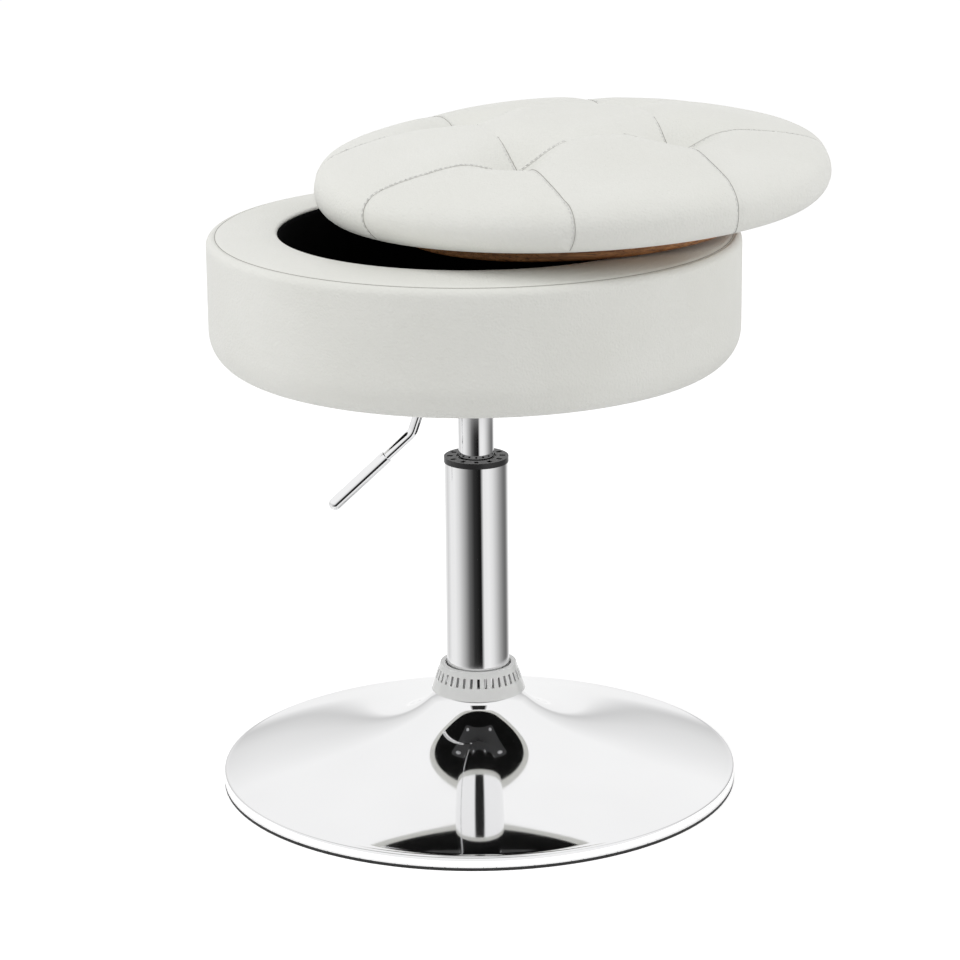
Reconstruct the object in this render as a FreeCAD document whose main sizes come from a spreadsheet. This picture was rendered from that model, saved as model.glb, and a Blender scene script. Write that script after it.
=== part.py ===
import FreeCAD, Part
import math
import os
from types import SimpleNamespace

import Sketcher

# Driving dimensions of the stool, in millimetres unless the name says otherwise.
SIZES = {
    # Clearances
    "press_clearance": 0.02,
    "running_clearance": 0.05,
    "body_gap": 0.3,
    # Trumpet base
    "base_radius": 205.0,
    "base_rim_height": 12.0,
    # Tangent of half the angle at which the dish falls to its rim
    "base_half_slope": 0.12,
    "base_sheet": 2.0,
    "neck_height": 93.0,
    "floor_ring_height": 2.5,
    "floor_ring_width": 6.0,
    "floor_ring_lip": 3.5,
    # Column
    "column_radius": 25.0,
    "column_wall": 2.0,
    "column_foot": 27.0,
    "column_top": 261.5,
    "socket_wall": 3.4,
    "socket_ledge": 3.0,
    "socket_ledge_width": 7.0,
    "socket_drop": 1.0,
    "foot_plate": 4.0,
    # Clear ring at the column's foot
    "trim_height": 21.5,
    "trim_wall": 1.6,
    "trim_flare": 5.4,
    "trim_top_gap": 1.4,
    "trim_top": 2.2,
    "trim_slots": 36,
    "trim_slot_width": 2.2,
    "trim_slot_height": 7.5,
    "trim_slot_drop": 4.5,
    # Collar and guide at the column's top
    "collar_height": 4.5,
    "collar_overhang": 0.4,
    "collar_spigot": 6.5,
    "collar_slots": 12,
    "collar_slot_depth": 2.0,
    "collar_slot_length": 4.5,
    "collar_slot_width": 3.2,
    "collar_slot_inset": 2.5,
    "bush_length": 76.0,
    "bush_lip_wall": 1.8,
    "bush_lip_drop": 1.0,
    # Thrust bearing
    "race_thickness": 2.0,
    "race_radius": 14.0,
    "ball_radius": 2.0,
    "ball_circle": 9.5,
    "ball_count": 9,
    "cage_thickness": 1.2,
    "cage_width": 6.4,
    # Piston rod
    "rod_radius": 5.0,
    "rod_tip_radius": 4.0,
    "rod_tip_below": 3.5,
    "rod_washer": 1.5,
    "rod_washer_radius": 9.0,
    "clip_thickness": 1.5,
    "clip_depth": 0.8,
    "clip_radius": 7.5,
    "clip_angle": 300.0,
    "buffer_height": 20.0,
    "buffer_radius": 11.5,
    "piston_height": 12.0,
    "piston_spigot": 3.5,
    "seal_height": 3.0,
    "seal_depth": 1.6,
    # Gas cylinder
    "cylinder_radius": 14.0,
    "cylinder_wall": 1.5,
    "cylinder_taper": 0.7,
    "gland_height": 12.0,
    "gland_inset": 1.0,
    "lift_down": 40.0,
    "lift_up": 110.0,
    "lift_stop_gap": 1.0,
    "valve_inset": 1.5,
    "pin_radius": 2.5,
    "pin_stand": 4.0,
    "pin_travel": 3.6,
    "pin_length": 40.0,
    # Seat plate and hub
    "plate_side": 160.0,
    "plate_thickness": 3.0,
    "plate_corner": 14.0,
    "hub_height": 34.0,
    "hub_radius": 18.5,
    "hub_slot_clearance": 0.8,
    "bolt_pitch": 120.0,
    "bolt_radius": 3.0,
    "bolt_head": 4.0,
    "bolt_head_radius": 5.6,
    "bolt_washer": 1.2,
    "bolt_washer_radius": 7.5,
    "tee_nut_flange": 1.0,
    "tee_nut_flange_radius": 9.0,
    "tee_nut_wall": 1.2,
    # Release lever
    "lever_radius": 4.0,
    "lever_nose": 3.0,
    "lever_pivot": 23.5,
    "lever_knee": 34.0,
    "lever_knee_bend": 9.0,
    "lever_elbow_out": 50.0,
    "lever_elbow_down": 47.8,
    "lever_elbow_bend": 14.0,
    "lever_tip_out": 112.0,
    "lever_tip_down": 105.8,
    "lever_below_plate": 8.2,
    "grip_radius": 5.2,
    "grip_length": 56.0,
    "pivot_pin_radius": 2.0,
    "bracket_sheet": 2.5,
    "bracket_depth": 7.0,
    "bracket_height": 13.0,
    # Storage drum
    "drum_bottom": 345.0,
    "drum_height": 104.0,
    "drum_radius": 206.5,
    "drum_corner": 28.0,
    "drum_shoulder": 6.5,
    "drum_crown": 150.0,
    "drum_crown_rise": 2.5,
    "rim_roll": 3.0,
    "well_radius": 151.5,
    "cover_sheet": 1.5,
    "lining_sheet": 1.0,
    "wall_board": 12.0,
    "floor_board": 12.0,
    "rim_foam": 7.5,
    "turn_under": 14.0,
    "dust_cover": 1.0,
    "dust_cover_radius": 172.0,
    "floor_pad": 1.5,
    # Lid
    "lid_radius": 198.0,
    "lid_height": 72.0,
    "lid_edge_height": 22.0,
    "lid_shoulder": 34.0,
    "lid_board": 9.0,
    "lid_board_setback": 30.0,
    "lid_turn_under": 60.0,
    "lid_shift_right": 75.0,
    "lid_shift_back": 2.0,
    "lid_stand": 15.4,
    "lid_tilt_deg": 2.6,
    "tuft_offset": 64.0,
    "tuft_turn_deg": 20.0,
    "tuft_depth": 20.0,
    "tuft_spread": 42.0,
    "tuft_brim": 4.0,
    "seam_depth": 5.0,
    "seam_spread": 30.0,
    "seam_brim": 5.0,
    "seam_sweep_deg": 26.0,
    "edge_seam_depth": 2.6,
    "edge_seam_spread": 15.0,
    "edge_seam_brim": 6.0,
    "edge_seam_from_deg": 65.0,
    "edge_seam_to_deg": 50.0,
    "tuft_cover_stretch": 1.5,
    "twine_radius": 1.0,
    # Wooden tray
    "tray_radius": 132.0,
    "tray_thickness": 15.0,
    "tray_edge_round": 2.5,
    "tray_screw_circle": 95.0,
    "tray_screw_count": 4,
    "screw_radius": 2.0,
    "screw_head_radius": 4.0,
    "screw_head": 2.4,
    "screw_length": 22.0,
}

LEFT = 1
RIGHT = -1
# How full the cushion stands beside a seam, halfway across it
VALLEY_SWELL = 0.7
V = FreeCAD.Vector


class Size:
    """A number together with the sheet formula that gives it."""

    def __init__(self, number, formula):
        self.number = number
        self.formula = formula

    def __add__(self, other):
        other = size(other)
        return Size(self.number + other.number, f"({self.formula} + {other.formula})")

    def __sub__(self, other):
        other = size(other)
        return Size(self.number - other.number, f"({self.formula} - {other.formula})")

    def __mul__(self, other):
        other = size(other)
        return Size(self.number * other.number, f"({self.formula} * {other.formula})")

    def __truediv__(self, other):
        other = size(other)
        return Size(self.number / other.number, f"({self.formula} / {other.formula})")

    def __neg__(self):
        return size(0) - self


def size(value):
    """A plain number as a Size; a Size stays as it is."""
    return value if isinstance(value, Size) else Size(float(value), f"{value}")


doc = FreeCAD.newDocument("swivel_storage_stool")
sheet = doc.addObject("Spreadsheet::Sheet", "Sheet")
for row, (name, number) in enumerate(SIZES.items(), start=1):
    sheet.set(f"A{row}", name)
    sheet.set(f"B{row}", str(number))
    sheet.setAlias(f"B{row}", name)
doc.recompute()
dim = SimpleNamespace(**{name: Size(float(sheet.get(name)), f"Sheet.{name}") for name in SIZES})
pieces = []
forms = {}


# Helpers that draw and bind


def bind(thing, path, length):
    thing.setExpression(path, size(length).formula)


def place(thing, x=0, y=0, z=0):
    """Bind where a thing stands."""
    for axis, length in zip("xyz", (x, y, z)):
        bind(thing, f"Placement.Base.{axis}", length)
    return thing


def keep(thing):
    """Make a thing one of the stool's pieces; its label names its file."""
    thing.Label = thing.Name
    pieces.append(thing)
    return thing


def new_body(name):
    return doc.addObject("PartDesign::Body", name)


def origin_feature(body, role):
    return next(f for f in body.Origin.OriginFeatures if f.Role == role)


def new_sketch(body, name, role, offset=0):
    """An empty sketch on one of the body's own planes, raised along the plane's normal."""
    sketch = body.newObject("Sketcher::SketchObject", name)
    sketch.AttachmentSupport = [(origin_feature(body, role), "")]
    sketch.MapMode = "FlatFace"
    bind(sketch, "AttachmentOffset.Base.z", offset)
    return sketch


def constrain(sketch, kind, *where, length):
    index = sketch.addConstraint(Sketcher.Constraint(kind, *where, size(length).number))
    bind(sketch, f"Constraints[{index}]", length)


def fix_point(sketch, geometry, end, across, up):
    """Bind a point's distances from the sketch's origin."""
    for kind, axis, length in (("DistanceX", -2, across), ("DistanceY", -1, up)):
        if size(length).number == 0:
            sketch.addConstraint(Sketcher.Constraint("PointOnObject", geometry, end, axis))
        else:
            constrain(sketch, kind, -1, 1, geometry, end, length=length)


def arc_between(start, end, radius, turn):
    """The shorter arc from start to end, with its centre on the left or right of travel."""
    chord = end - start
    half = chord.Length / 2
    aside = V(-chord.y, chord.x, 0).normalize() * turn
    centre = (start + end) / 2 + aside * math.sqrt(max(radius * radius - half * half, 0))
    first, last = (start, end) if turn == LEFT else (end, start)
    angles = [math.atan2(p.y - centre.y, p.x - centre.x) for p in (first, last)]
    return Part.ArcOfCircle(Part.Circle(centre, V(0, 0, 1), radius), *angles)


def draw_outline(sketch, corners):
    """Draw a closed outline through bound corners.

    A corner is (across, up), or has a third entry for the edge that leaves it: (radius, turn) for an arc.
    """
    spots = [V(size(c[0]).number, size(c[1]).number, 0) for c in corners]
    edges = []
    for i, corner in enumerate(corners):
        start, end = spots[i], spots[(i + 1) % len(spots)]
        shape = corner[2] if len(corner) > 2 else None
        if shape is None:
            edges.append((sketch.addGeometry(Part.LineSegment(start, end), False), 1, 2))
        else:
            radius, turn = shape
            index = sketch.addGeometry(arc_between(start, end, size(radius).number, turn), False)
            edges.append((index, 1, 2) if turn == LEFT else (index, 2, 1))
    for i, corner in enumerate(corners):
        geometry, first, last = edges[i]
        following, follow_first, _ = edges[(i + 1) % len(edges)]
        sketch.addConstraint(Sketcher.Constraint("Coincident", geometry, last, following, follow_first))
        shape = corner[2] if len(corner) > 2 else None
        if shape is not None:
            constrain(sketch, "Radius", geometry, length=shape[0])
        fix_point(sketch, geometry, first, corner[0], corner[1])


def turn_profile(body, corners, angle=360):
    """Turn a profile of (radius, height) corners about the body's upright axis."""
    sketch = new_sketch(body, f"{body.Name}_profile", "XZ_Plane")
    draw_outline(sketch, corners)
    turned = body.newObject("PartDesign::Revolution", f"{body.Name}_turned")
    turned.Profile = sketch
    turned.ReferenceAxis = (sketch, ["V_Axis"])
    bind(turned, "Angle", angle)
    return turned


def turned_body(name, corners, x=0, y=0, z=0, angle=360):
    body = new_body(name)
    turn_profile(body, corners, angle)
    return place(body, x, y, z)


def ring_corners(inner, outer, height):
    return [(inner, 0), (outer, 0), (outer, height), (inner, height)]


def repeat_round(body, feature, count):
    """Repeat a feature evenly about the body's upright axis."""
    pattern = body.newObject("PartDesign::PolarPattern", f"{feature.Name}_round")
    pattern.Originals = [feature]
    pattern.Axis = (origin_feature(body, "Z_Axis"), [""])
    pattern.Angle = 360
    bind(pattern, "Occurrences", count)
    body.Tip = pattern


def cut_slot(body, name, role, corners, offset=0, depth=None):
    """Cut an outline into the body, through all of one side or to a depth."""
    sketch = new_sketch(body, f"{name}_outline", role, offset)
    draw_outline(sketch, corners)
    pocket = body.newObject("PartDesign::Pocket", name)
    pocket.Profile = sketch
    if depth is None:
        pocket.Type = "ThroughAll"
    else:
        bind(pocket, "Length", depth)
    doc.recompute()
    if not pocket.Shape.Volume < pocket.BaseFeature.Shape.Volume:
        raise ValueError(f"{name} cuts nothing")
    return pocket


def cylinder(name, radius, height, x=0, y=0, z=0):
    solid = doc.addObject("Part::Cylinder", name)
    bind(solid, "Radius", radius)
    bind(solid, "Height", height)
    return place(solid, x, y, z)


def cut_away(name, blank, *tools):
    """A blank with the tools' space taken out of it."""
    tool = doc.addObject("Part::Compound", f"{name}_tools")
    tool.Links = list(tools)
    result = doc.addObject("Part::Cut", name)
    result.Base = blank
    result.Tool = tool
    return result


def group(name, members):
    """Several like solids that share one node."""
    compound = doc.addObject("Part::Compound", name)
    compound.Links = members
    return compound


# Heights and radii that pieces share

neck_radius = dim.column_radius + dim.press_clearance + dim.socket_wall + dim.press_clearance + dim.base_sheet
column_bore = dim.column_radius - dim.column_wall
foot_plate_top = dim.column_foot + dim.foot_plate
ball_centre = foot_plate_top + dim.race_thickness + dim.running_clearance + dim.ball_radius
upper_race_foot = ball_centre + dim.ball_radius + dim.running_clearance
upper_race_top = upper_race_foot + dim.race_thickness
washer_foot = dim.column_foot - dim.running_clearance - dim.rod_washer
clip_foot = washer_foot - dim.clip_thickness
rod_foot = clip_foot - dim.rod_tip_below
buffer_top = upper_race_top + dim.buffer_height
cylinder_foot = buffer_top + dim.lift_down + dim.lift_stop_gap
gland_top = cylinder_foot + dim.gland_inset + dim.gland_height
piston_foot = gland_top + dim.lift_up + dim.lift_stop_gap
piston_top = piston_foot + dim.piston_height
valve_foot = piston_top + dim.lift_down + dim.lift_stop_gap
cylinder_bore = dim.cylinder_radius - dim.cylinder_wall

plate_foot = dim.drum_bottom - dim.dust_cover - dim.plate_thickness
lever_axis = plate_foot - dim.lever_below_plate
pin_top = lever_axis - dim.lever_radius - dim.body_gap
cylinder_top = pin_top - dim.pin_stand
hub_foot = plate_foot - dim.hub_height
hub_bore = dim.cylinder_radius + dim.press_clearance
bracket_inside = dim.lever_radius + dim.body_gap

drum_top = dim.drum_bottom + dim.drum_height
floor_top = dim.drum_bottom + dim.floor_board
wall_bore = dim.well_radius + dim.lining_sheet
wall_radius = wall_bore + dim.wall_board
turn_under_end = wall_radius - dim.turn_under
wall_top = drum_top - dim.cover_sheet - dim.rim_foam
seam_radius = dim.drum_radius - dim.drum_shoulder
seam_height = drum_top - dim.drum_crown_rise
rim_edge = dim.well_radius + dim.rim_roll
lid_board_top = dim.cover_sheet + dim.lid_board
lid_board_radius = dim.lid_radius - dim.lid_board_setback
cover_opening = dim.lid_radius - dim.lid_edge_height - dim.lid_turn_under


# Base and column


def make_base_dish():
    rim = dim.base_radius - dim.base_sheet
    squared = dim.base_half_slope * dim.base_half_slope
    level_share = (size(1) - squared) / (size(1) + squared)
    fall_share = dim.base_half_slope * 2 / (size(1) + squared)
    meeting = dim.base_rim_height + (rim - neck_radius) * fall_share / level_share
    rise = dim.neck_height - meeting
    bend = rise * (size(1) + fall_share) / level_share
    foot = neck_radius + rise * level_share
    foot_height = meeting - rise * fall_share
    return turned_body("base_dish", [
        (dim.base_radius, dim.floor_ring_height),
        (dim.base_radius, dim.base_rim_height - dim.base_sheet, (dim.base_sheet, LEFT)),
        (rim, dim.base_rim_height),
        (foot, foot_height, (bend, RIGHT)),
        (neck_radius, dim.neck_height),
        (neck_radius - dim.base_sheet, dim.neck_height, (bend + dim.base_sheet, LEFT)),
        (foot - dim.base_sheet * fall_share, foot_height - dim.base_sheet * level_share),
        (rim, dim.base_rim_height - dim.base_sheet),
        (rim, dim.floor_ring_height),
    ])


def make_base_floor_ring():
    lip = dim.base_radius - dim.base_sheet - dim.press_clearance
    inner = dim.base_radius - dim.floor_ring_width
    return turned_body("base_floor_ring", [
        (inner, 0),
        (dim.base_radius, 0),
        (dim.base_radius, dim.floor_ring_height),
        (lip, dim.floor_ring_height),
        (lip, dim.floor_ring_height + dim.floor_ring_lip),
        (inner, dim.floor_ring_height + dim.floor_ring_lip),
    ])


def make_base_socket():
    bore = dim.column_radius + dim.press_clearance
    outer = bore + dim.socket_wall
    ledge = dim.column_radius - dim.socket_ledge_width
    top = dim.neck_height - dim.socket_drop - dim.column_foot + dim.socket_ledge
    return turned_body("base_socket", [
        (ledge, 0),
        (outer, 0),
        (outer, top),
        (bore, top),
        (bore, dim.socket_ledge),
        (ledge, dim.socket_ledge),
    ], z=dim.column_foot - dim.socket_ledge)


def make_trim_ring():
    """A cone with a flat lip round the column and a row of short upright slots."""
    foot = neck_radius + dim.trim_flare
    shoulder = neck_radius + dim.body_gap
    lip = dim.column_radius + dim.trim_top_gap
    body = turned_body("trim_ring", [
        (foot, 0),
        (foot + dim.trim_wall, 0),
        (shoulder + dim.trim_wall - dim.trim_top, dim.trim_height),
        (lip, dim.trim_height),
        (lip, dim.trim_height - dim.trim_top),
        (shoulder, dim.trim_height - dim.trim_top),
    ], z=dim.neck_height - dim.trim_height + dim.trim_top)
    side = dim.trim_slot_width / 2
    top = dim.trim_height - dim.trim_slot_drop
    foot = top - dim.trim_slot_height
    slot = cut_slot(body, "trim_slot", "YZ_Plane", [(-side, foot), (side, foot), (side, top), (-side, top)])
    repeat_round(body, slot, dim.trim_slots)
    return body


def make_column_tube():
    length = dim.column_top - dim.column_foot
    return turned_body("column_tube", ring_corners(column_bore, dim.column_radius, length), z=dim.column_foot)


def make_column_foot_plate():
    hole = dim.rod_tip_radius + dim.running_clearance
    outer = column_bore - dim.press_clearance
    return turned_body("column_foot_plate", ring_corners(hole, outer, dim.foot_plate), z=dim.column_foot)


def make_guide_bush():
    """A long sleeve in the column with a thin lip that shows round the cylinder."""
    bore = dim.cylinder_radius + dim.running_clearance
    outer = column_bore - dim.press_clearance
    lip = bore + dim.bush_lip_wall
    lip_top = dim.bush_length + dim.collar_spigot + dim.collar_height - dim.bush_lip_drop
    return turned_body("guide_bush", [
        (bore, 0),
        (outer, 0),
        (outer, dim.bush_length),
        (lip, dim.bush_length),
        (lip, lip_top),
        (bore, lip_top),
    ], z=dim.column_top - dim.collar_spigot - dim.bush_length)


def make_column_collar():
    """A cap on the column's end with a ring of moulded pockets in its top."""
    bore = dim.cylinder_radius + dim.running_clearance + dim.bush_lip_wall + dim.press_clearance
    spigot = column_bore - dim.press_clearance
    outer = dim.column_radius + dim.collar_overhang
    top = dim.collar_spigot + dim.collar_height
    body = turned_body("column_collar", [
        (bore, 0),
        (spigot, 0),
        (spigot, dim.collar_spigot),
        (outer, dim.collar_spigot),
        (outer, top),
        (bore, top),
    ], z=dim.column_top - dim.collar_spigot)
    out = outer - dim.collar_slot_inset
    inward = out - dim.collar_slot_length
    side = dim.collar_slot_width / 2
    corners = [(inward, -side), (out, -side), (out, side), (inward, side)]
    slot = cut_slot(body, "collar_slot", "XY_Plane", corners, offset=top, depth=dim.collar_slot_depth)
    repeat_round(body, slot, dim.collar_slots)
    return body


# Thrust bearing


def make_race(name, foot):
    bore = dim.rod_tip_radius + dim.running_clearance
    return turned_body(name, ring_corners(bore, dim.race_radius, dim.race_thickness), z=foot)


def ball_positions():
    for i in range(int(dim.ball_count.number)):
        angle = 2 * math.pi * i / dim.ball_count.number
        yield dim.ball_circle * math.cos(angle), dim.ball_circle * math.sin(angle)


def balls(prefix, radius):
    made = []
    for i, (x, y) in enumerate(ball_positions()):
        ball = doc.addObject("Part::Sphere", f"{prefix}_{i}")
        bind(ball, "Radius", radius)
        made.append(place(ball, x, y, ball_centre))
    return made


def make_bearing_balls():
    return group("bearing_balls", balls("bearing_ball", dim.ball_radius))


def make_bearing_cage():
    inner = dim.ball_circle - dim.cage_width / 2
    blank = turned_body("bearing_cage_blank", ring_corners(inner, inner + dim.cage_width, dim.cage_thickness),
                        z=ball_centre - dim.cage_thickness / 2)
    return cut_away("bearing_cage", blank, *balls("cage_pocket", dim.ball_radius + dim.running_clearance))


# Piston rod


def make_piston_rod():
    groove = dim.rod_tip_radius - dim.clip_depth
    return turned_body("piston_rod", [
        (0, 0),
        (dim.rod_tip_radius, 0),
        (dim.rod_tip_radius, clip_foot - rod_foot),
        (groove, clip_foot - rod_foot),
        (groove, washer_foot - rod_foot),
        (dim.rod_tip_radius, washer_foot - rod_foot),
        (dim.rod_tip_radius, upper_race_top - rod_foot),
        (dim.rod_radius, upper_race_top - rod_foot),
        (dim.rod_radius, piston_foot - rod_foot),
        (dim.piston_spigot, piston_foot - rod_foot),
        (dim.piston_spigot, piston_top - rod_foot),
        (0, piston_top - rod_foot),
    ], z=rod_foot)


def make_piston_head():
    bore = dim.piston_spigot + dim.press_clearance
    outer = cylinder_bore - dim.running_clearance
    groove = outer - dim.seal_depth
    low = (dim.piston_height - dim.seal_height) / 2
    return turned_body("piston_head", [
        (bore, 0),
        (outer, 0),
        (outer, low),
        (groove, low),
        (groove, low + dim.seal_height),
        (outer, low + dim.seal_height),
        (outer, dim.piston_height),
        (bore, dim.piston_height),
    ], z=piston_foot)


def make_piston_seal():
    outer = cylinder_bore - dim.running_clearance
    inner = outer - dim.seal_depth + dim.press_clearance
    height = dim.seal_height - dim.press_clearance * 2
    foot = piston_foot + (dim.piston_height - height) / 2
    return turned_body("piston_seal", ring_corners(inner, outer, height), z=foot)


def make_rod_washer():
    bore = dim.rod_tip_radius + dim.running_clearance
    return turned_body("rod_washer", ring_corners(bore, dim.rod_washer_radius, dim.rod_washer), z=washer_foot)


def make_retaining_clip():
    bore = dim.rod_tip_radius - dim.clip_depth + dim.press_clearance
    return turned_body("retaining_clip", ring_corners(bore, dim.clip_radius, dim.clip_thickness), z=clip_foot,
                       angle=dim.clip_angle)


def make_rubber_buffer():
    bore = dim.rod_radius + dim.press_clearance
    corners = ring_corners(bore, dim.buffer_radius, dim.buffer_height)
    return turned_body("rubber_buffer", corners, z=upper_race_top)


# Gas cylinder


def make_gas_cylinder():
    """A tube whose top narrows into the seat hub."""
    taper_foot = hub_foot - cylinder_foot
    top = cylinder_top - cylinder_foot
    return turned_body("gas_cylinder", [
        (cylinder_bore, 0),
        (dim.cylinder_radius, 0),
        (dim.cylinder_radius, taper_foot),
        (dim.cylinder_radius - dim.cylinder_taper, top),
        (cylinder_bore, top),
    ], z=cylinder_foot)


def make_cylinder_gland():
    bore = dim.rod_radius + dim.running_clearance
    outer = cylinder_bore - dim.press_clearance
    corners = ring_corners(bore, outer, dim.gland_height)
    return turned_body("cylinder_gland", corners, z=cylinder_foot + dim.gland_inset)


def make_valve_body():
    """The plug in the cylinder's top, bored for the release pin and its travel."""
    bore = dim.pin_radius + dim.running_clearance
    outer = cylinder_bore - dim.press_clearance
    top = cylinder_top - dim.valve_inset - valve_foot
    floor = pin_top - dim.pin_length - dim.pin_travel - dim.body_gap - valve_foot
    return turned_body("valve_body", [
        (0, 0),
        (outer, 0),
        (outer, top),
        (bore, top),
        (bore, floor),
        (0, floor),
    ], z=valve_foot)


def make_release_pin():
    round_end = dim.pin_radius / 2
    return turned_body("release_pin", [
        (0, 0),
        (dim.pin_radius, 0),
        (dim.pin_radius, dim.pin_length - round_end, (round_end, LEFT)),
        (dim.pin_radius - round_end, dim.pin_length),
        (0, dim.pin_length),
    ], z=pin_top - dim.pin_length)


# Seat plate, hub and their fasteners


def corner_positions():
    half = dim.bolt_pitch / 2
    return [(half, half), (-half, half), (-half, -half), (half, -half)]


def bolt_holes(prefix, clearance, foot, height):
    radius = dim.bolt_radius + clearance
    return [
        cylinder(f"{prefix}_{i}", radius, height, x, y, foot)
        for i, (x, y) in enumerate(corner_positions())
    ]


def make_seat_plate():
    body = new_body("seat_plate_blank")
    half = dim.plate_side / 2
    near = half - dim.plate_corner
    bend = (dim.plate_corner, LEFT)
    sketch = new_sketch(body, "seat_plate_outline", "XY_Plane")
    draw_outline(sketch, [
        (-near, -half),
        (near, -half, bend),
        (half, -near),
        (half, near, bend),
        (near, half),
        (-near, half, bend),
        (-half, near),
        (-half, -near, bend),
    ])
    pad = body.newObject("PartDesign::Pad", "seat_plate_pad")
    pad.Profile = sketch
    bind(pad, "Length", dim.plate_thickness)
    place(body, z=plate_foot)
    holes = bolt_holes("plate_hole", dim.body_gap, plate_foot, dim.plate_thickness)
    return cut_away("seat_plate", body, *holes)


def make_seat_hub():
    """The tapered cup under the plate that grips the cylinder, slotted for the lever."""
    top = dim.hub_height
    narrow = hub_bore - dim.cylinder_taper
    seat = cylinder_top - hub_foot
    body = turned_body("seat_hub", [
        (hub_bore, 0),
        (dim.hub_radius, 0),
        (dim.hub_radius, top),
        (narrow, top),
        (narrow, seat),
    ], z=hub_foot)
    side = dim.lever_radius + dim.hub_slot_clearance
    cut_slot(body, "hub_slot", "YZ_Plane", [(-side, seat), (side, seat), (side, top), (-side, top)])
    return body


def make_plate_bolts():
    bolts = []
    head_foot = plate_foot - dim.bolt_washer - dim.bolt_head
    length = floor_top - dim.tee_nut_flange - head_foot - dim.bolt_head
    for i, (x, y) in enumerate(corner_positions()):
        head = doc.addObject("Part::Prism", f"bolt_head_{i}")
        bind(head, "Circumradius", dim.bolt_head_radius)
        bind(head, "Height", dim.bolt_head)
        place(head, x, y, head_foot)
        shank = cylinder(f"bolt_shank_{i}", dim.bolt_radius, length, x, y, head_foot + dim.bolt_head)
        bolt = doc.addObject("Part::Fuse", f"bolt_{i}")
        bolt.Base = head
        bolt.Tool = shank
        bolts.append(bolt)
    return group("plate_bolts", bolts)


def make_bolt_washers():
    bore = dim.bolt_radius + dim.running_clearance
    corners = ring_corners(bore, dim.bolt_washer_radius, dim.bolt_washer)
    return group("bolt_washers", [
        turned_body(f"bolt_washer_{i}", corners, x, y, plate_foot - dim.bolt_washer)
        for i, (x, y) in enumerate(corner_positions())
    ])


def tee_nut_corners(bore, grow):
    barrel = dim.bolt_radius + dim.running_clearance + dim.tee_nut_wall + grow
    flange = dim.tee_nut_flange_radius + grow
    return [
        (bore, 0),
        (barrel, 0),
        (barrel, dim.floor_board - dim.tee_nut_flange),
        (flange, dim.floor_board - dim.tee_nut_flange),
        (flange, dim.floor_board),
        (bore, dim.floor_board),
    ]


def make_tee_nuts():
    corners = tee_nut_corners(dim.bolt_radius + dim.running_clearance, 0)
    return group("tee_nuts", [
        turned_body(f"tee_nut_{i}", corners, x, y, dim.drum_bottom)
        for i, (x, y) in enumerate(corner_positions())
    ])


# Release lever, drawn about its pivot


def make_lever_bracket():
    """Two cheeks under the plate that hold the lever's pin."""
    cheeks = []
    back = -(dim.lever_pivot + dim.bracket_depth / 2)
    for i, inner in enumerate((bracket_inside, -(bracket_inside + dim.bracket_sheet))):
        cheek = doc.addObject("Part::Box", f"bracket_cheek_{i}")
        bind(cheek, "Length", dim.bracket_depth)
        bind(cheek, "Width", dim.bracket_sheet)
        bind(cheek, "Height", dim.bracket_height)
        cheeks.append(place(cheek, back, inner, plate_foot - dim.bracket_height))
    hole = pivot_cylinder("bracket_hole", dim.pivot_pin_radius + dim.press_clearance)
    return cut_away("lever_bracket", group("bracket_cheeks", cheeks), hole)


def pivot_cylinder(name, radius):
    """A level cylinder along the lever's pivot, as long as the bracket is wide."""
    half = bracket_inside + dim.bracket_sheet
    solid = cylinder(name, radius, half * 2)
    solid.Placement.Rotation = FreeCAD.Rotation(V(1, 0, 0), -90)
    return place(solid, -dim.lever_pivot, -half, lever_axis)


def make_lever_pivot_pin():
    return pivot_cylinder("lever_pivot_pin", dim.pivot_pin_radius)


def bend_ends(before, corner, after, radius):
    """Where an arc of a radius starts and ends when it rounds a corner."""
    into = (before - corner).normalize()
    out = (after - corner).normalize()
    reach = radius / math.tan(into.getAngle(out) / 2)
    return corner + into * reach, corner + out * reach


def lever_path():
    """The lever's centre line in its own plane: nose, knee, elbow and tip, with the bends' sizes."""
    pivot = dim.lever_pivot.number
    nose = V(pivot + dim.lever_nose.number, 0, 0)
    knee = V(pivot - dim.lever_knee.number, 0, 0)
    elbow = V(pivot - dim.lever_elbow_out.number, -dim.lever_elbow_down.number, 0)
    tip = V(pivot - dim.lever_tip_out.number, -dim.lever_tip_down.number, 0)
    return nose, knee, elbow, tip


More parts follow.
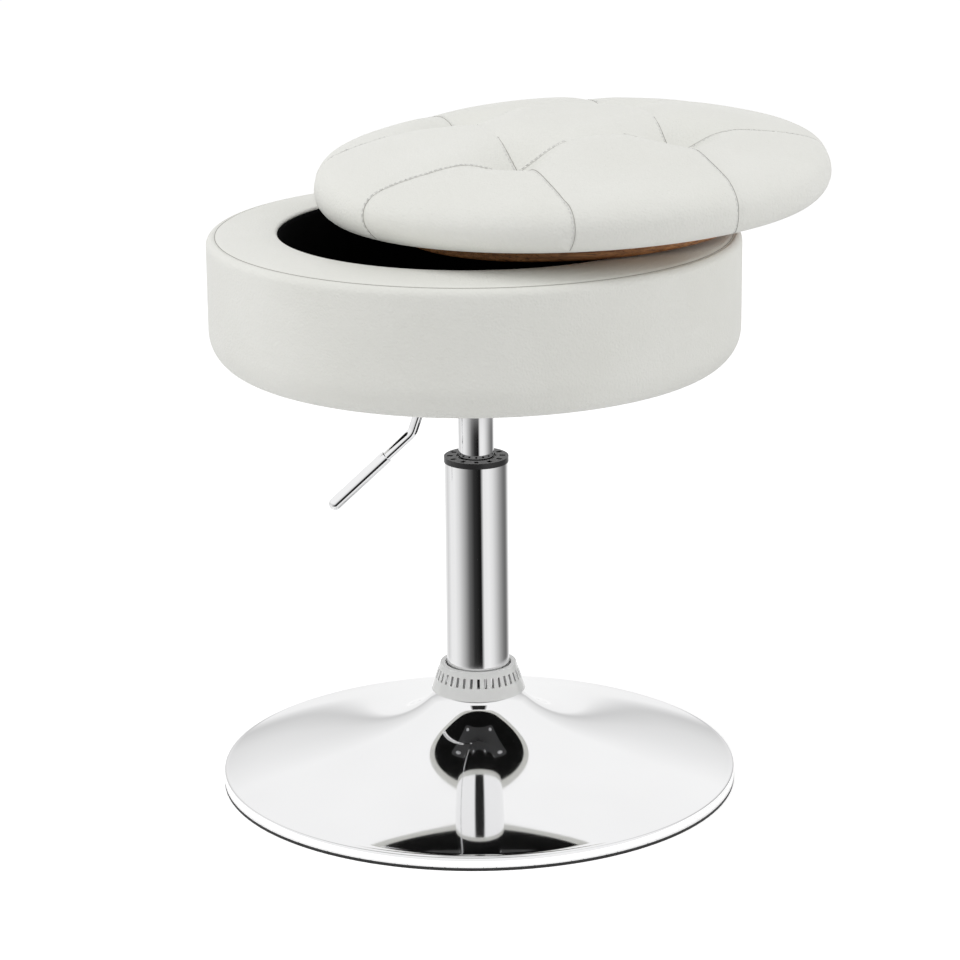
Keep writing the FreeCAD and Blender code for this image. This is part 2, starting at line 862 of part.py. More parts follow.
def make_lever_rod():
    """A bent rod that runs from over the release pin, through the pivot, down and out to the grip."""
    nose, knee, elbow, tip = lever_path()
    knee_in, knee_out = bend_ends(nose, knee, elbow, dim.lever_knee_bend.number)
    elbow_in, elbow_out = bend_ends(knee, elbow, tip, dim.lever_elbow_bend.number)
    wire = Part.Wire([
        Part.makeLine(upright(nose), upright(knee_in)),
        rounded(knee_in, knee, knee_out, dim.lever_knee_bend.number),
        Part.makeLine(upright(knee_out), upright(elbow_in)),
        rounded(elbow_in, elbow, elbow_out, dim.lever_elbow_bend.number),
        Part.makeLine(upright(elbow_out), upright(tip)),
    ])
    path = doc.addObject("Part::Feature", "lever_path")
    path.Shape = wire
    section = doc.addObject("Part::Circle", "lever_section")
    bind(section, "Radius", dim.lever_radius)
    section.Placement.Rotation = FreeCAD.Rotation(V(0, 1, 0), 90)
    place(section, dim.lever_pivot + dim.lever_nose)
    sweep = doc.addObject("Part::Sweep", "lever_sweep")
    sweep.Sections = [section]
    sweep.Spine = (path, [f"Edge{i + 1}" for i in range(len(wire.Edges))])
    sweep.Solid = True
    half = dim.lever_radius * 2
    hole = cylinder("lever_hole", dim.pivot_pin_radius + dim.running_clearance, half * 2)
    hole.Placement.Rotation = FreeCAD.Rotation(V(1, 0, 0), -90)
    place(hole, 0, -half, 0)
    return place(cut_away("lever_rod", sweep, hole), -dim.lever_pivot, 0, lever_axis)


def upright(point):
    """A point of the lever's flat drawing, stood up in the stool's front plane."""
    return V(point.x, 0, point.y)


def rounded(start, corner, end, radius):
    """The arc that rounds a corner between two points on its sides."""
    bisector = ((start + end) / 2 - corner).normalize()
    half_angle = (start - corner).getAngle(bisector)
    middle = corner + bisector * (radius / math.sin(half_angle) - radius)
    return Part.Arc(upright(start), upright(middle), upright(end)).toShape()


def make_lever_grip():
    """A plated sleeve with a domed end, pushed on the lever's tip."""
    _, _, elbow, tip = lever_path()
    bore = dim.lever_radius + dim.press_clearance
    wall = dim.grip_radius - bore
    body = new_body("lever_grip")
    turn_profile(body, [
        (bore, 0),
        (dim.grip_radius, 0),
        (dim.grip_radius, dim.grip_length, (dim.grip_radius, LEFT)),
        (0, dim.grip_length + dim.grip_radius),
        (0, dim.grip_length + wall),
        (bore, dim.grip_length + wall),
    ])
    away = upright(tip - elbow).normalize()
    pivot_spot = V(-dim.lever_pivot.number, 0, lever_axis.number)
    start = pivot_spot + upright(tip) - away * (dim.grip_length.number + wall.number - dim.body_gap.number)
    body.Placement = FreeCAD.Placement(start, FreeCAD.Rotation(V(0, 0, 1), away))
    return body


# Storage drum


def make_drum_floor_board():
    rebate = turn_under_end - dim.body_gap
    step = dim.cover_sheet + dim.press_clearance
    blank = turned_body("drum_floor_blank", [
        (0, 0),
        (rebate, 0),
        (rebate, step),
        (wall_radius - dim.press_clearance, step),
        (wall_radius - dim.press_clearance, dim.floor_board),
        (0, dim.floor_board),
    ], z=dim.drum_bottom)
    corners = tee_nut_corners(0, dim.press_clearance)
    holes = [
        turned_body(f"tee_nut_hole_{i}", corners, x, y, dim.drum_bottom)
        for i, (x, y) in enumerate(corner_positions())
    ]
    return cut_away("drum_floor_board", blank, *holes)


def make_drum_wall():
    return turned_body("drum_wall", ring_corners(wall_bore, wall_radius, wall_top - floor_top), z=floor_top)


def make_drum_foam():
    """Padding round the wall and over its top edge."""
    sheet_in = dim.cover_sheet
    corner = dim.drum_corner - sheet_in
    inner = rim_edge - dim.rim_roll + sheet_in
    return turned_body("drum_foam", [
        (wall_radius, sheet_in),
        (dim.drum_radius - dim.drum_corner, sheet_in, (corner, LEFT)),
        (dim.drum_radius - sheet_in, dim.drum_corner),
        (dim.drum_radius - sheet_in, seam_height - dim.drum_shoulder - dim.drum_bottom,
         (dim.drum_shoulder - sheet_in, LEFT)),
        (seam_radius, seam_height - sheet_in - dim.drum_bottom, (dim.drum_crown, LEFT)),
        (rim_edge, dim.drum_height - sheet_in, (dim.rim_roll - sheet_in, LEFT)),
        (inner, dim.drum_height - dim.rim_roll),
        (inner, wall_top - dim.drum_bottom),
        (wall_radius, wall_top - dim.drum_bottom),
    ], z=dim.drum_bottom)


def make_drum_side_cover():
    """The side panel, sewn to the top panel and turned under the floor board."""
    sheet_in = dim.cover_sheet
    flat = dim.drum_radius - dim.drum_corner
    shoulder = seam_height - dim.drum_shoulder - dim.drum_bottom
    return turned_body("drum_side_cover", [
        (turn_under_end, 0),
        (flat, 0, (dim.drum_corner, LEFT)),
        (dim.drum_radius, dim.drum_corner),
        (dim.drum_radius, shoulder, (dim.drum_shoulder, LEFT)),
        (seam_radius, seam_height - dim.drum_bottom),
        (seam_radius, seam_height - sheet_in - dim.drum_bottom, (dim.drum_shoulder - sheet_in, RIGHT)),
        (dim.drum_radius - sheet_in, shoulder),
        (dim.drum_radius - sheet_in, dim.drum_corner, (dim.drum_corner - sheet_in, RIGHT)),
        (flat, sheet_in),
        (turn_under_end, sheet_in),
    ], z=dim.drum_bottom)


def make_drum_top_cover():
    """The ring-shaped top panel, crowned and rolled over the well's edge."""
    sheet_in = dim.cover_sheet
    seam = seam_height - dim.drum_bottom
    return turned_body("drum_top_cover", [
        (seam_radius, seam, (dim.drum_crown, LEFT)),
        (rim_edge, dim.drum_height, (dim.rim_roll, LEFT)),
        (dim.well_radius, dim.drum_height - dim.rim_roll),
        (dim.well_radius + sheet_in, dim.drum_height - dim.rim_roll, (dim.rim_roll - sheet_in, RIGHT)),
        (rim_edge, dim.drum_height - sheet_in, (dim.drum_crown, RIGHT)),
        (seam_radius, seam - sheet_in),
    ], z=dim.drum_bottom)


def make_well_lining():
    height = drum_top - dim.rim_roll - floor_top
    return turned_body("well_lining", ring_corners(dim.well_radius, wall_bore, height), z=floor_top)


def make_well_floor_pad():
    radius = dim.well_radius - dim.press_clearance
    return cylinder("well_floor_pad", radius, dim.floor_pad, z=floor_top)


def make_drum_dust_cover():
    foot = dim.drum_bottom - dim.dust_cover
    blank = cylinder("dust_cover_blank", dim.dust_cover_radius, dim.dust_cover, z=foot)
    return cut_away("drum_dust_cover", blank, *bolt_holes("dust_hole", dim.body_gap, foot, dim.dust_cover))


# Lid, drawn level about the middle of its underside and then set down askew


def set_on_drum(thing):
    """Put a lid piece where the lid lies: shifted to the right and tipped up on that side."""
    thing.Placement.Rotation = FreeCAD.Rotation(V(0, 1, 0), -dim.lid_tilt_deg.number)
    thing.setExpression("Placement.Rotation.Angle", f"-{dim.lid_tilt_deg.formula} * 1 deg")
    return place(thing, dim.lid_shift_right, dim.lid_shift_back, drum_top + dim.lid_stand)


def arc_through(*points):
    return Part.Arc(*points).toShape()


def polar(centre, radius, angle):
    return V(centre.x + radius * math.cos(angle), 0, centre.z + radius * math.sin(angle))


def lid_curves():
    """Centres and radii of the three arcs of the lid's profile, and the angle where shoulder meets crown."""
    edge = dim.lid_edge_height.number
    under = V(dim.lid_radius.number - edge, 0, edge)
    shoulder = V(dim.lid_radius.number - dim.lid_shoulder.number, 0, edge)
    rise = dim.lid_height.number - edge
    reach = dim.lid_shoulder.number
    crown_radius = (shoulder.x ** 2 + rise ** 2 - reach ** 2) / (2 * (rise - reach))
    crown = V(0, 0, dim.lid_height.number - crown_radius)
    meet = math.atan2(shoulder.z - crown.z, shoulder.x - crown.x)
    return under, shoulder, crown, crown_radius, meet


def lid_blank(inset):
    """The lid's crowned round form, drawn in by inset all over."""
    under, shoulder, crown, crown_radius, meet = lid_curves()
    low = dim.lid_edge_height.number - inset
    side = dim.lid_shoulder.number - inset
    top = crown_radius - inset
    middle = (meet + math.pi / 2) / 2
    wire = Part.Wire([
        Part.makeLine(V(0, 0, inset), polar(under, low, -math.pi / 2)),
        arc_through(polar(under, low, -math.pi / 2), polar(under, low, -math.pi / 4), polar(under, low, 0)),
        arc_through(polar(shoulder, side, 0), polar(shoulder, side, meet / 2), polar(shoulder, side, meet)),
        arc_through(polar(crown, top, meet), polar(crown, top, middle), polar(crown, top, math.pi / 2)),
        Part.makeLine(polar(crown, top, math.pi / 2), V(0, 0, inset)),
    ])
    return Part.Face(wire).revolve(V(0, 0, 0), V(0, 0, 1), 360)


def valley_face(bottom, out, depth, spread, brim):
    """A seam's cutter seen end on: two arcs that meet in a valley, closed over the top."""
    across = V(0, spread, 0)
    top = bottom + out * (depth + brim)
    swell = bottom + out * (depth + brim) * VALLEY_SWELL
    return Part.Face(Part.Wire([
        arc_through(top - across, swell - across / 2, bottom),
        arc_through(bottom, swell + across / 2, top + across),
        Part.makeLine(top + across, top - across),
    ]))


def swung(face, centre, start, end):
    """A face swung about a level axis from one angle to another."""
    face.rotate(centre, V(0, 1, 0), -start)
    return face.revolve(centre, V(0, 1, 0), start - end)


def crown_seam(sink):
    """A seam over the crown, at an even depth."""
    _, _, crown, crown_radius, _ = lid_curves()
    offset = dim.tuft_offset.number
    depth = dim.seam_depth.number
    bottom = crown.z + math.sqrt(crown_radius ** 2 - offset ** 2) - depth - sink
    half_sweep = dim.seam_sweep_deg.number / 2
    face = valley_face(V(0, offset, bottom), V(0, 0, 1), depth, dim.seam_spread.number, dim.seam_brim.number)
    return swung(face, crown, half_sweep, -half_sweep)


def edge_seam(sink):
    """The same seam where it is drawn in over the lid's rounded edge."""
    offset = dim.tuft_offset.number
    depth = dim.edge_seam_depth.number
    side = math.sqrt(dim.lid_radius.number ** 2 - offset ** 2)
    centre = V(side - dim.lid_shoulder.number, 0, dim.lid_edge_height.number)
    bottom = V(side - depth - sink, offset, centre.z)
    face = valley_face(bottom, V(1, 0, 0), depth, dim.edge_seam_spread.number, dim.edge_seam_brim.number)
    return swung(face, centre, dim.edge_seam_from_deg.number, -dim.edge_seam_to_deg.number)


def tuft_pit(sink):
    """The round dip that a tuft pulls into the cushion."""
    low = tuft_bottom() - sink
    high = tuft_bottom() + dim.tuft_depth.number + dim.tuft_brim.number
    spread = dim.tuft_spread.number
    swell = V(spread / 2, 0, low + (high - low) * VALLEY_SWELL)
    face = Part.Face(Part.Wire([
        arc_through(V(0, 0, low), swell, V(spread, 0, high)),
        Part.makeLine(V(spread, 0, high), V(0, 0, high)),
        Part.makeLine(V(0, 0, high), V(0, 0, low)),
    ]))
    pit = face.revolve(V(0, 0, 0), V(0, 0, 1), 360)
    pit.translate(V(dim.tuft_offset.number, dim.tuft_offset.number, 0))
    return pit


def tuft_cutters(inset):
    """All seams and tufts, sunk deeper for the padding under the cover."""
    sink = inset * dim.tuft_cover_stretch.number
    far_edge = edge_seam(sink)
    far_edge.rotate(V(0, dim.tuft_offset.number, 0), V(0, 0, 1), 180)
    cutters = []
    for quarter in range(4):
        for cutter in (crown_seam(sink), tuft_pit(sink), edge_seam(sink), far_edge.copy()):
            cutter.rotate(V(0, 0, 0), V(0, 0, 1), dim.tuft_turn_deg.number + 90 * quarter)
            cutters.append(cutter)
    return cutters


def tuft_bottom():
    """The height of a tuft's lowest point."""
    _, _, crown, crown_radius, _ = lid_curves()
    reach = dim.tuft_offset.number * math.sqrt(2)
    return crown.z + math.sqrt(crown_radius ** 2 - reach ** 2) - dim.tuft_depth.number


def tuft_spots():
    for quarter in range(4):
        angle = math.radians(dim.tuft_turn_deg.number + 45 + 90 * quarter)
        reach = dim.tuft_offset.number * math.sqrt(2)
        yield reach * math.cos(angle), reach * math.sin(angle)


def tufted_form(inset):
    return lid_blank(inset).cut(tuft_cutters(inset))


def make_lid_board():
    blank = cylinder("lid_board_blank", lid_board_radius, dim.lid_board, z=dim.cover_sheet)
    holes = twines("board_twine_hole", dim.twine_radius + dim.body_gap)
    return set_on_drum(cut_away("lid_board", blank, *holes, *tray_screws("board_pilot", dim.press_clearance)))


def twines(prefix, radius):
    stretch = dim.tuft_cover_stretch.number + 1
    height = tuft_bottom() - dim.cover_sheet.number * stretch - dim.body_gap.number
    return [
        cylinder(f"{prefix}_{i}", radius, height, x, y, dim.cover_sheet)
        for i, (x, y) in enumerate(tuft_spots())
    ]


def make_tuft_twines():
    return set_on_drum(group("tuft_twines", twines("tuft_twine", dim.twine_radius)))


def padding_form():
    """The tufted form inside the cover."""
    if "padding" not in forms:
        forms["padding"] = tufted_form(dim.cover_sheet.number)
    return forms["padding"]


def make_lid_foam():
    board = Part.makeCylinder(lid_board_radius.number + dim.press_clearance.number, lid_board_top.number)
    radius = dim.twine_radius.number + dim.body_gap.number
    holes = [Part.makeCylinder(radius, dim.lid_height.number, V(x, y, 0)) for x, y in tuft_spots()]
    feature = doc.addObject("Part::Feature", "lid_foam")
    feature.Shape = padding_form().cut([board, *holes])
    return set_on_drum(feature)


def make_lid_cover():
    opening = Part.makeCylinder(cover_opening.number, lid_board_top.number)
    feature = doc.addObject("Part::Feature", "lid_cover")
    feature.Shape = tufted_form(0).cut([padding_form(), opening])
    return set_on_drum(feature)


def make_lid_tray():
    """A round wooden board under the lid, with a step that meets the lid's board inside the cover's edge."""
    edge = dim.tray_edge_round
    step = cover_opening - dim.body_gap
    inner = dim.tray_radius - edge
    blank = turned_body("lid_tray_blank", [
        (0, -dim.tray_thickness),
        (inner, -dim.tray_thickness, (edge, LEFT)),
        (dim.tray_radius, edge - dim.tray_thickness),
        (dim.tray_radius, -dim.press_clearance),
        (step, -dim.press_clearance),
        (step, dim.cover_sheet),
        (0, dim.cover_sheet),
    ])
    return set_on_drum(cut_away("lid_tray", blank, *tray_screws("tray_hole", dim.press_clearance)))


def tray_screws(prefix, grow):
    """Countersunk screws that come up through the tray into the lid's board."""
    made = []
    shank = dim.screw_radius + grow
    head = dim.screw_head_radius + grow
    corners = [(0, 0), (head, 0), (shank, dim.screw_head), (shank, dim.screw_length), (0, dim.screw_length)]
    for i in range(int(dim.tray_screw_count.number)):
        angle = 2 * math.pi * i / dim.tray_screw_count.number
        x, y = dim.tray_screw_circle * math.cos(angle), dim.tray_screw_circle * math.sin(angle)
        made.append(turned_body(f"{prefix}_{i}", corners, x, y, -dim.tray_thickness))
    return made


def make_tray_screws():
    return set_on_drum(group("tray_screws", tray_screws("tray_screw", 0)))


MAKERS = [
    make_base_dish, make_base_floor_ring, make_base_socket, make_trim_ring, make_column_tube,
    make_column_foot_plate, make_guide_bush, make_column_collar, make_bearing_balls, make_bearing_cage,
    make_piston_rod, make_piston_head, make_piston_seal, make_rod_washer, make_retaining_clip,
    make_rubber_buffer, make_gas_cylinder, make_cylinder_gland, make_valve_body, make_release_pin,
    make_seat_plate, make_seat_hub, make_plate_bolts, make_bolt_washers, make_tee_nuts,
    make_lever_bracket, make_lever_pivot_pin, make_lever_rod, make_lever_grip, make_drum_floor_board,
    make_drum_wall, make_drum_foam, make_drum_side_cover, make_drum_top_cover, make_well_lining,
    make_well_floor_pad, make_drum_dust_cover, make_lid_board, make_lid_foam, make_lid_cover,
    make_tuft_twines, make_lid_tray, make_tray_screws,
]

keep(make_race("bearing_lower_race", foot_plate_top))
keep(make_race("bearing_upper_race", upper_race_foot))
for maker in MAKERS:
    keep(maker())
doc.recompute()

# Every object has to be sound before anything is written
for thing in doc.Objects:
    if {"Invalid", "Error"} & set(thing.State):
        raise RuntimeError(f"{thing.Name} failed: {thing.State}")
for piece in pieces:
    if piece.Shape.isNull() or not piece.Shape.isValid() or not piece.Shape.Solids:
        raise RuntimeError(f"{piece.Label} has no sound solid")

os.makedirs("parts", exist_ok=True)
for piece in pieces:
    piece.Shape.exportStep(f"parts/{piece.Label}.step")
    print(piece.Label, len(piece.Shape.Solids), "solid", f"{piece.Shape.Volume / 1000:.2f} cm3")
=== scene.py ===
import math

import bpy
import numpy as np
from mathutils import Matrix, Vector
from mathutils.bvhtree import BVHTree


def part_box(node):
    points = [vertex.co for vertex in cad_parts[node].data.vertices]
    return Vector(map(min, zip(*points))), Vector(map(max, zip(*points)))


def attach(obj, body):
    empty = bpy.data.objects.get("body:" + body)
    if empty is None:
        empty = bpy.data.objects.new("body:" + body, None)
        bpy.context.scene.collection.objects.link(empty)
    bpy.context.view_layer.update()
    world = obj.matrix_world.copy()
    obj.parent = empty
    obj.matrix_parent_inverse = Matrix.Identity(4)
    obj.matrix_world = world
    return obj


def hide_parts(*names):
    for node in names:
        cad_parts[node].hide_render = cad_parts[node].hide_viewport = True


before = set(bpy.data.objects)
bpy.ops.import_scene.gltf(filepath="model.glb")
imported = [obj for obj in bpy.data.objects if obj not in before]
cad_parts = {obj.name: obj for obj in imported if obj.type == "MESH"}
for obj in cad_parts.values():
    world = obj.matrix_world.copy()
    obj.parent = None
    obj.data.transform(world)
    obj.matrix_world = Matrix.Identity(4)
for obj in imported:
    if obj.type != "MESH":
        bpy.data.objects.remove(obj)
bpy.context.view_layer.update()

MM = 0.001
IMAGE_WIDTH = 960

# Camera, as fitted to the photograph
CAMERA_PLACE = Vector((0.0, -2.54, 0.9787))
CAMERA_PITCH = 0.2809
CAMERA_ROLL = -0.0097
CAMERA_YAW = -0.0011
CAMERA_FOCUS = 3357.0
SENSOR_WIDTH = 36.0

# Drum, from the frame
DRUM_LOW, DRUM_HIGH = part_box("drum_side_cover")
DRUM_RADIUS = DRUM_HIGH.x
DRUM_BOTTOM = DRUM_LOW.z
DRUM_CORNER = 28 * MM
DRUM_SHOULDER = 6.5 * MM
SEAM_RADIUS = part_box("drum_top_cover")[1].x
SEAM_HEIGHT = DRUM_HIGH.z
RIM_HEIGHT = DRUM_BOTTOM + 104 * MM
RIM_ROLL = 3 * MM
CROWN_RADIUS = 150 * MM
WALL_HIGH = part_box("drum_wall")[1]
WELL_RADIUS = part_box("well_floor_pad")[1].x
LINING_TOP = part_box("well_lining")[1].z
LINING_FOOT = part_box("well_lining")[0].z
COVER_SHEET = 1.5 * MM
COVER_GAP = 0.3 * MM
DRUM_PRESSURE = 1.2
DRUM_SWELL = 1.6 * MM
DRUM_GROOVE = 0.9 * MM
DRUM_GROOVE_SPREAD = 1.5 * MM

# Cloth of the covers: frames simulated, and how firmly a seam holds it (1 is fixed)
CLOTH_FRAMES = 20
SEAM_HOLD = 0.6

# How far off the surface a seam's line is looked for
DRUM_SEARCH = 20 * MM
LID_SEARCH = 30 * MM

# Trumpet base, from the frame
DISH_LOW, DISH_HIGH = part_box("base_dish")
DISH_SHEET = 2 * MM
DISH_RIM = 12 * MM
NECK_RADIUS = 30.4 * MM
RING_FOOT = 38 * MM
RING_LEVEL = 66.4 * MM
RIM_STEPS = 3
ROLL_STEPS = 8

# The dish's fall from the ring: extra slope at its top, how far that reaches, and the slope that stays
DISH_STEEP = 0.9
DISH_TURN = 27.2 * MM
DISH_FALL = 0.172

# Beyond this radius the dish droops to meet its rim
DROOP_START = 150 * MM

# Lid, drawn level and then laid askew as in the photograph
LID_RADIUS = 200 * MM
LID_HEIGHT = 77 * MM
LID_EDGE = 22 * MM
LID_SHOULDER = 28 * MM
LID_LEAN = 0.05
LID_TILT = math.radians(-2.2)
LID_NUDGE = Vector((1.5 * MM, 0, 1 * MM))
BOARD_MIDDLE = 6 * MM
TUFT_OFFSET = 64 * MM
TUFT_TURN = math.radians(18.5)
TUFT_SHIFT = np.array([-3 * MM, -3 * MM])
LID_INSET = 1.2 * MM
LID_VOXEL = 4 * MM
LID_PRESSURE = 4.0
LID_SWELL = 2.2 * MM

# Dips in the lid before it swells: depth and spread
TUFT_DEPTH = 19.5 * MM
TUFT_SPREAD = 27 * MM
SEAM_DEPTH = 2.6 * MM
SEAM_SPREAD = 12 * MM
SAG_DEPTH = 2.5 * MM
SAG_SPREAD = 70 * MM
SIDE_PULL = 1.0 * MM
SIDE_PULL_SPREAD = 7 * MM

# Where those dips fade: up the crown, out to the shoulder, and down the side
CROWN_GAIN = 1.6
SEAM_FADE_END = 180 * MM
SEAM_FADE = 60 * MM
SEAM_LEAST = 0.25
SIDE_FOOT = 2 * MM
SIDE_FADE = 12 * MM

# What is held while the lid swells: its underside, strips along the seams, discs at the tufts
UNDERSIDE_TOP = 4 * MM
SEAM_STRIP = 2.4 * MM
TUFT_DISC = 7 * MM

# Sharp grooves pressed in afterwards: depth and spread
LID_GROOVE = 0.7 * MM
LID_GROOVE_SPREAD = 1.9 * MM
TUFT_PIT = 1.6 * MM
TUFT_PIT_SPREAD = 6 * MM

# How far down a surface may face before a seam ends, and where a seam's painted shade goes from pale on top
# to dark on the sides
SEAM_END = -0.93
PALE_SHADE_FACING = 0.55
DARK_SHADE_FACING = 0.62


# Mesh helpers


def bell(distance, spread):
    """A smooth hump that is 1 at no distance and fades over the spread."""
    return np.exp(-((distance / spread) ** 2))


def add_mesh(name, verts, faces, material=None):
    mesh = bpy.data.meshes.new(name)
    mesh.from_pydata([tuple(v) for v in verts], [], faces)
    mesh.validate()
    obj = bpy.data.objects.new(name, mesh)
    bpy.context.scene.collection.objects.link(obj)
    mesh.shade_smooth()
    if material:
        mesh.materials.append(material)
    return obj


def arc(centre, radius, start, end, steps):
    """Points of an arc in the (radius, height) plane, angles in degrees."""
    angles = np.radians(np.linspace(start, end, steps + 1))
    return [(centre[0] + radius * math.cos(a), centre[1] + radius * math.sin(a)) for a in angles]


def straight(start, end, steps):
    """Points of a straight run, without its end."""
    return [
        (start[0] + (end[0] - start[0]) * i / steps, start[1] + (end[1] - start[1]) * i / steps)
        for i in range(steps)
    ]


def ring_grid(name, profile, count, closed):
    """A profile turned about the upright axis; a closed profile makes a ring-shaped body."""
    verts = []
    for i in range(count):
        angle = 2 * math.pi * i / count
        verts += [(r * math.cos(angle), r * math.sin(angle), z) for r, z in profile]
    rows = len(profile)
    faces = []
    for i in range(count):
        following = (i + 1) % count
        for j in range(rows if closed else rows - 1):
            above = (j + 1) % rows
            faces.append((i * rows + j, following * rows + j, following * rows + above, i * rows + above))
    return add_mesh(name, verts, faces)


def tube_faces(rings, sides, closed):
    faces = []
    for i in range(rings if closed else rings - 1):
        following = (i + 1) % rings
        for k in range(sides):
            side = (k + 1) % sides
            faces.append((i * sides + k, following * sides + k, following * sides + side, i * sides + side))
    if not closed:
        faces.append(tuple(range(sides)))
        faces.append(tuple(reversed(range((rings - 1) * sides, rings * sides))))
    return faces


def tube_verts(points, normals, radii, sides):
    """Rings of a tube round a path whose surface normals are known."""
    verts = []
    last = len(points) - 1
    for i, (point, normal) in enumerate(zip(points, normals)):
        along = (points[min(i + 1, last)] - points[max(i - 1, 0)]).normalized()
        across = along.cross(normal).normalized()
        up = across.cross(along)
        for k in range(sides):
            angle = 2 * math.pi * k / sides
            verts.append(point + (across * math.cos(angle) + up * math.sin(angle)) * radii[i])
    return verts


def thread_runs(name, paths, radius, lift, material):
    """A fine unbroken line along each path of (point, normal) pairs."""
    verts, faces = [], []
    for path in paths:
        points = [p + n * lift for p, n in path]
        normals = [n for _, n in path]
        start = len(verts)
        verts += tube_verts(points, normals, [radius] * len(points), 6)
        faces += [tuple(v + start for v in f) for f in tube_faces(len(points), 6, False)]
    return add_mesh(name, verts, faces, material)


def resample(path, pitch):
    """A path of (point, normal) pairs walked in even steps."""
    lengths = [0.0]
    for (a, _), (b, _) in zip(path, path[1:]):
        lengths.append(lengths[-1] + (b - a).length)
    even = []
    count = int(lengths[-1] / pitch)
    for k in range(count + 1):
        target = k * pitch
        i = max(j for j, reach in enumerate(lengths) if reach <= target)
        i = min(i, len(path) - 2)
        share = (target - lengths[i]) / max(lengths[i + 1] - lengths[i], 1e-9)
        point = path[i][0].lerp(path[i + 1][0], share)
        even.append((point, path[i][1].lerp(path[i + 1][1], share).normalized()))
    return even


def stitches(name, paths, pitch, length, radius, shift, lift, material):
    """Short plump stitches laid end to end along each path, a little to one side of it."""
    shares = (-0.5, -0.38, -0.15, 0.15, 0.38, 0.5)
    plump = (0.25, 0.8, 1.0, 1.0, 0.8, 0.25)
    sink = (0.9, 0.25, 0.0, 0.0, 0.25, 0.9)
    verts, faces = [], []
    for path in paths:
        even = resample(path, pitch)
        for (a, normal), (b, _) in zip(even, even[1:]):
            along = (b - a).normalized()
            aside = along.cross(normal).normalized() * shift
            middle = (a + b) / 2 + aside + normal * lift
            points = [middle + along * (s * length) - normal * (d * radius) for s, d in zip(shares, sink)]
            start = len(verts)
            verts += tube_verts(points, [normal] * len(points), [radius * p for p in plump], 6)
            faces += [tuple(v + start for v in f) for f in tube_faces(len(points), 6, False)]
    return add_mesh(name, verts, faces, material)


def apply_modifiers(obj):
    """Bake what an object's modifiers make into its mesh."""
    evaluated = obj.evaluated_get(bpy.context.evaluated_depsgraph_get())
    mesh = bpy.data.meshes.new_from_object(evaluated)
    materials = list(obj.data.materials)
    obj.modifiers.clear()
    obj.data = mesh
    mesh.materials.clear()
    for material in materials:
        mesh.materials.append(material)
    mesh.shade_smooth()


def positions(obj):
    flat = np.zeros(len(obj.data.vertices) * 3, np.float32)
    obj.data.vertices.foreach_get("co", flat)
    return flat.reshape(-1, 3).astype(float)


def normals_of(obj):
    flat = np.zeros(len(obj.data.vertices) * 3, np.float32)
    obj.data.vertices.foreach_get("normal", flat)
    return flat.reshape(-1, 3).astype(float)


def set_positions(obj, points):
    obj.data.vertices.foreach_set("co", np.asarray(points, np.float32).ravel())
    obj.data.update()


def inflate(obj, pins, pressure, cap):
    """Let a cover swell over its filling as cloth, held where it is sewn or backed, and bake the result."""
    before = positions(obj)
    held = obj.vertex_groups.new(name="held")
    for weight in np.unique(np.round(pins, 2)):
        if weight > 0:
            members = np.nonzero(np.abs(pins - weight) < 0.006)[0].tolist()
            held.add(members, float(weight), "REPLACE")
    cloth = obj.modifiers.new("cover", "CLOTH")
    settings = cloth.settings
    settings.vertex_group_mass = "held"
    settings.use_pressure = True
    settings.uniform_pressure_force = pressure
    settings.effector_weights.gravity = 0
    settings.quality = 6
    settings.mass = 0.35
    settings.tension_stiffness = 30
    settings.compression_stiffness = 30
    settings.shear_stiffness = 12
    settings.bending_stiffness = 2
    cloth.collision_settings.use_collision = False
    scene = bpy.context.scene
    scene.frame_start = 1
    scene.frame_end = CLOTH_FRAMES
    for number in range(1, CLOTH_FRAMES + 1):
        scene.frame_set(number)
    apply_modifiers(obj)
    scene.frame_set(1)
    moved = positions(obj) - before
    reach = np.linalg.norm(moved, axis=1)
    moved *= np.minimum(1, cap / np.maximum(reach, 1e-9))[:, None]
    set_positions(obj, before + moved)
    obj.vertex_groups.clear()


def subdivide(obj):
    modifier = obj.modifiers.new("smooth", "SUBSURF")
    modifier.levels = 1
    modifier.render_levels = 1
    apply_modifiers(obj)


def tree_of(obj):
    return BVHTree.FromPolygons(
        [v.co.copy() for v in obj.data.vertices], [tuple(p.vertices) for p in obj.data.polygons]
    )


# Materials


def new_material(name):
    material = bpy.data.materials.new(name)
    material.use_nodes = True
    nodes = material.node_tree.nodes
    return material, nodes, material.node_tree.links, nodes["Principled BSDF"]


def add_node(nodes, kind, **values):
    """A node with its properties and its unlinked sockets set by name."""
    node = nodes.new(kind)
    for key, value in values.items():
        if hasattr(node, key):
            setattr(node, key, value)
        else:
            node.inputs[key.replace("_", " ")].default_value = value
    return node


def object_space(nodes, links, scale=(1, 1, 1), rotation=(0, 0, 0)):
    """Coordinates in metres on the object, stretched by a scale."""
    place = nodes.new("ShaderNodeTexCoord")
    mapping = nodes.new("ShaderNodeMapping")
    mapping.inputs["Scale"].default_value = scale
    mapping.inputs["Rotation"].default_value = rotation
    links.new(place.outputs["Object"], mapping.inputs["Vector"])
    return mapping.outputs["Vector"]


def noise_of(nodes, links, vector, scale, detail=3.0, roughness=0.55):
    node = add_node(nodes, "ShaderNodeTexNoise", Scale=scale, Detail=detail, Roughness=roughness)
    links.new(vector, node.inputs["Vector"])
    return node.outputs["Fac"]


def ramp_of(nodes, links, value, stops):
    """A colour ramp; stops are (place, colour)."""
    node = nodes.new("ShaderNodeValToRGB")
    elements = node.color_ramp.elements
    while len(elements) < len(stops):
        elements.new(0.5)
    for element, (place, colour) in zip(elements, stops):
        element.position = place
        element.color = (*colour, 1)
    links.new(value, node.inputs["Fac"])
    return node.outputs["Color"]


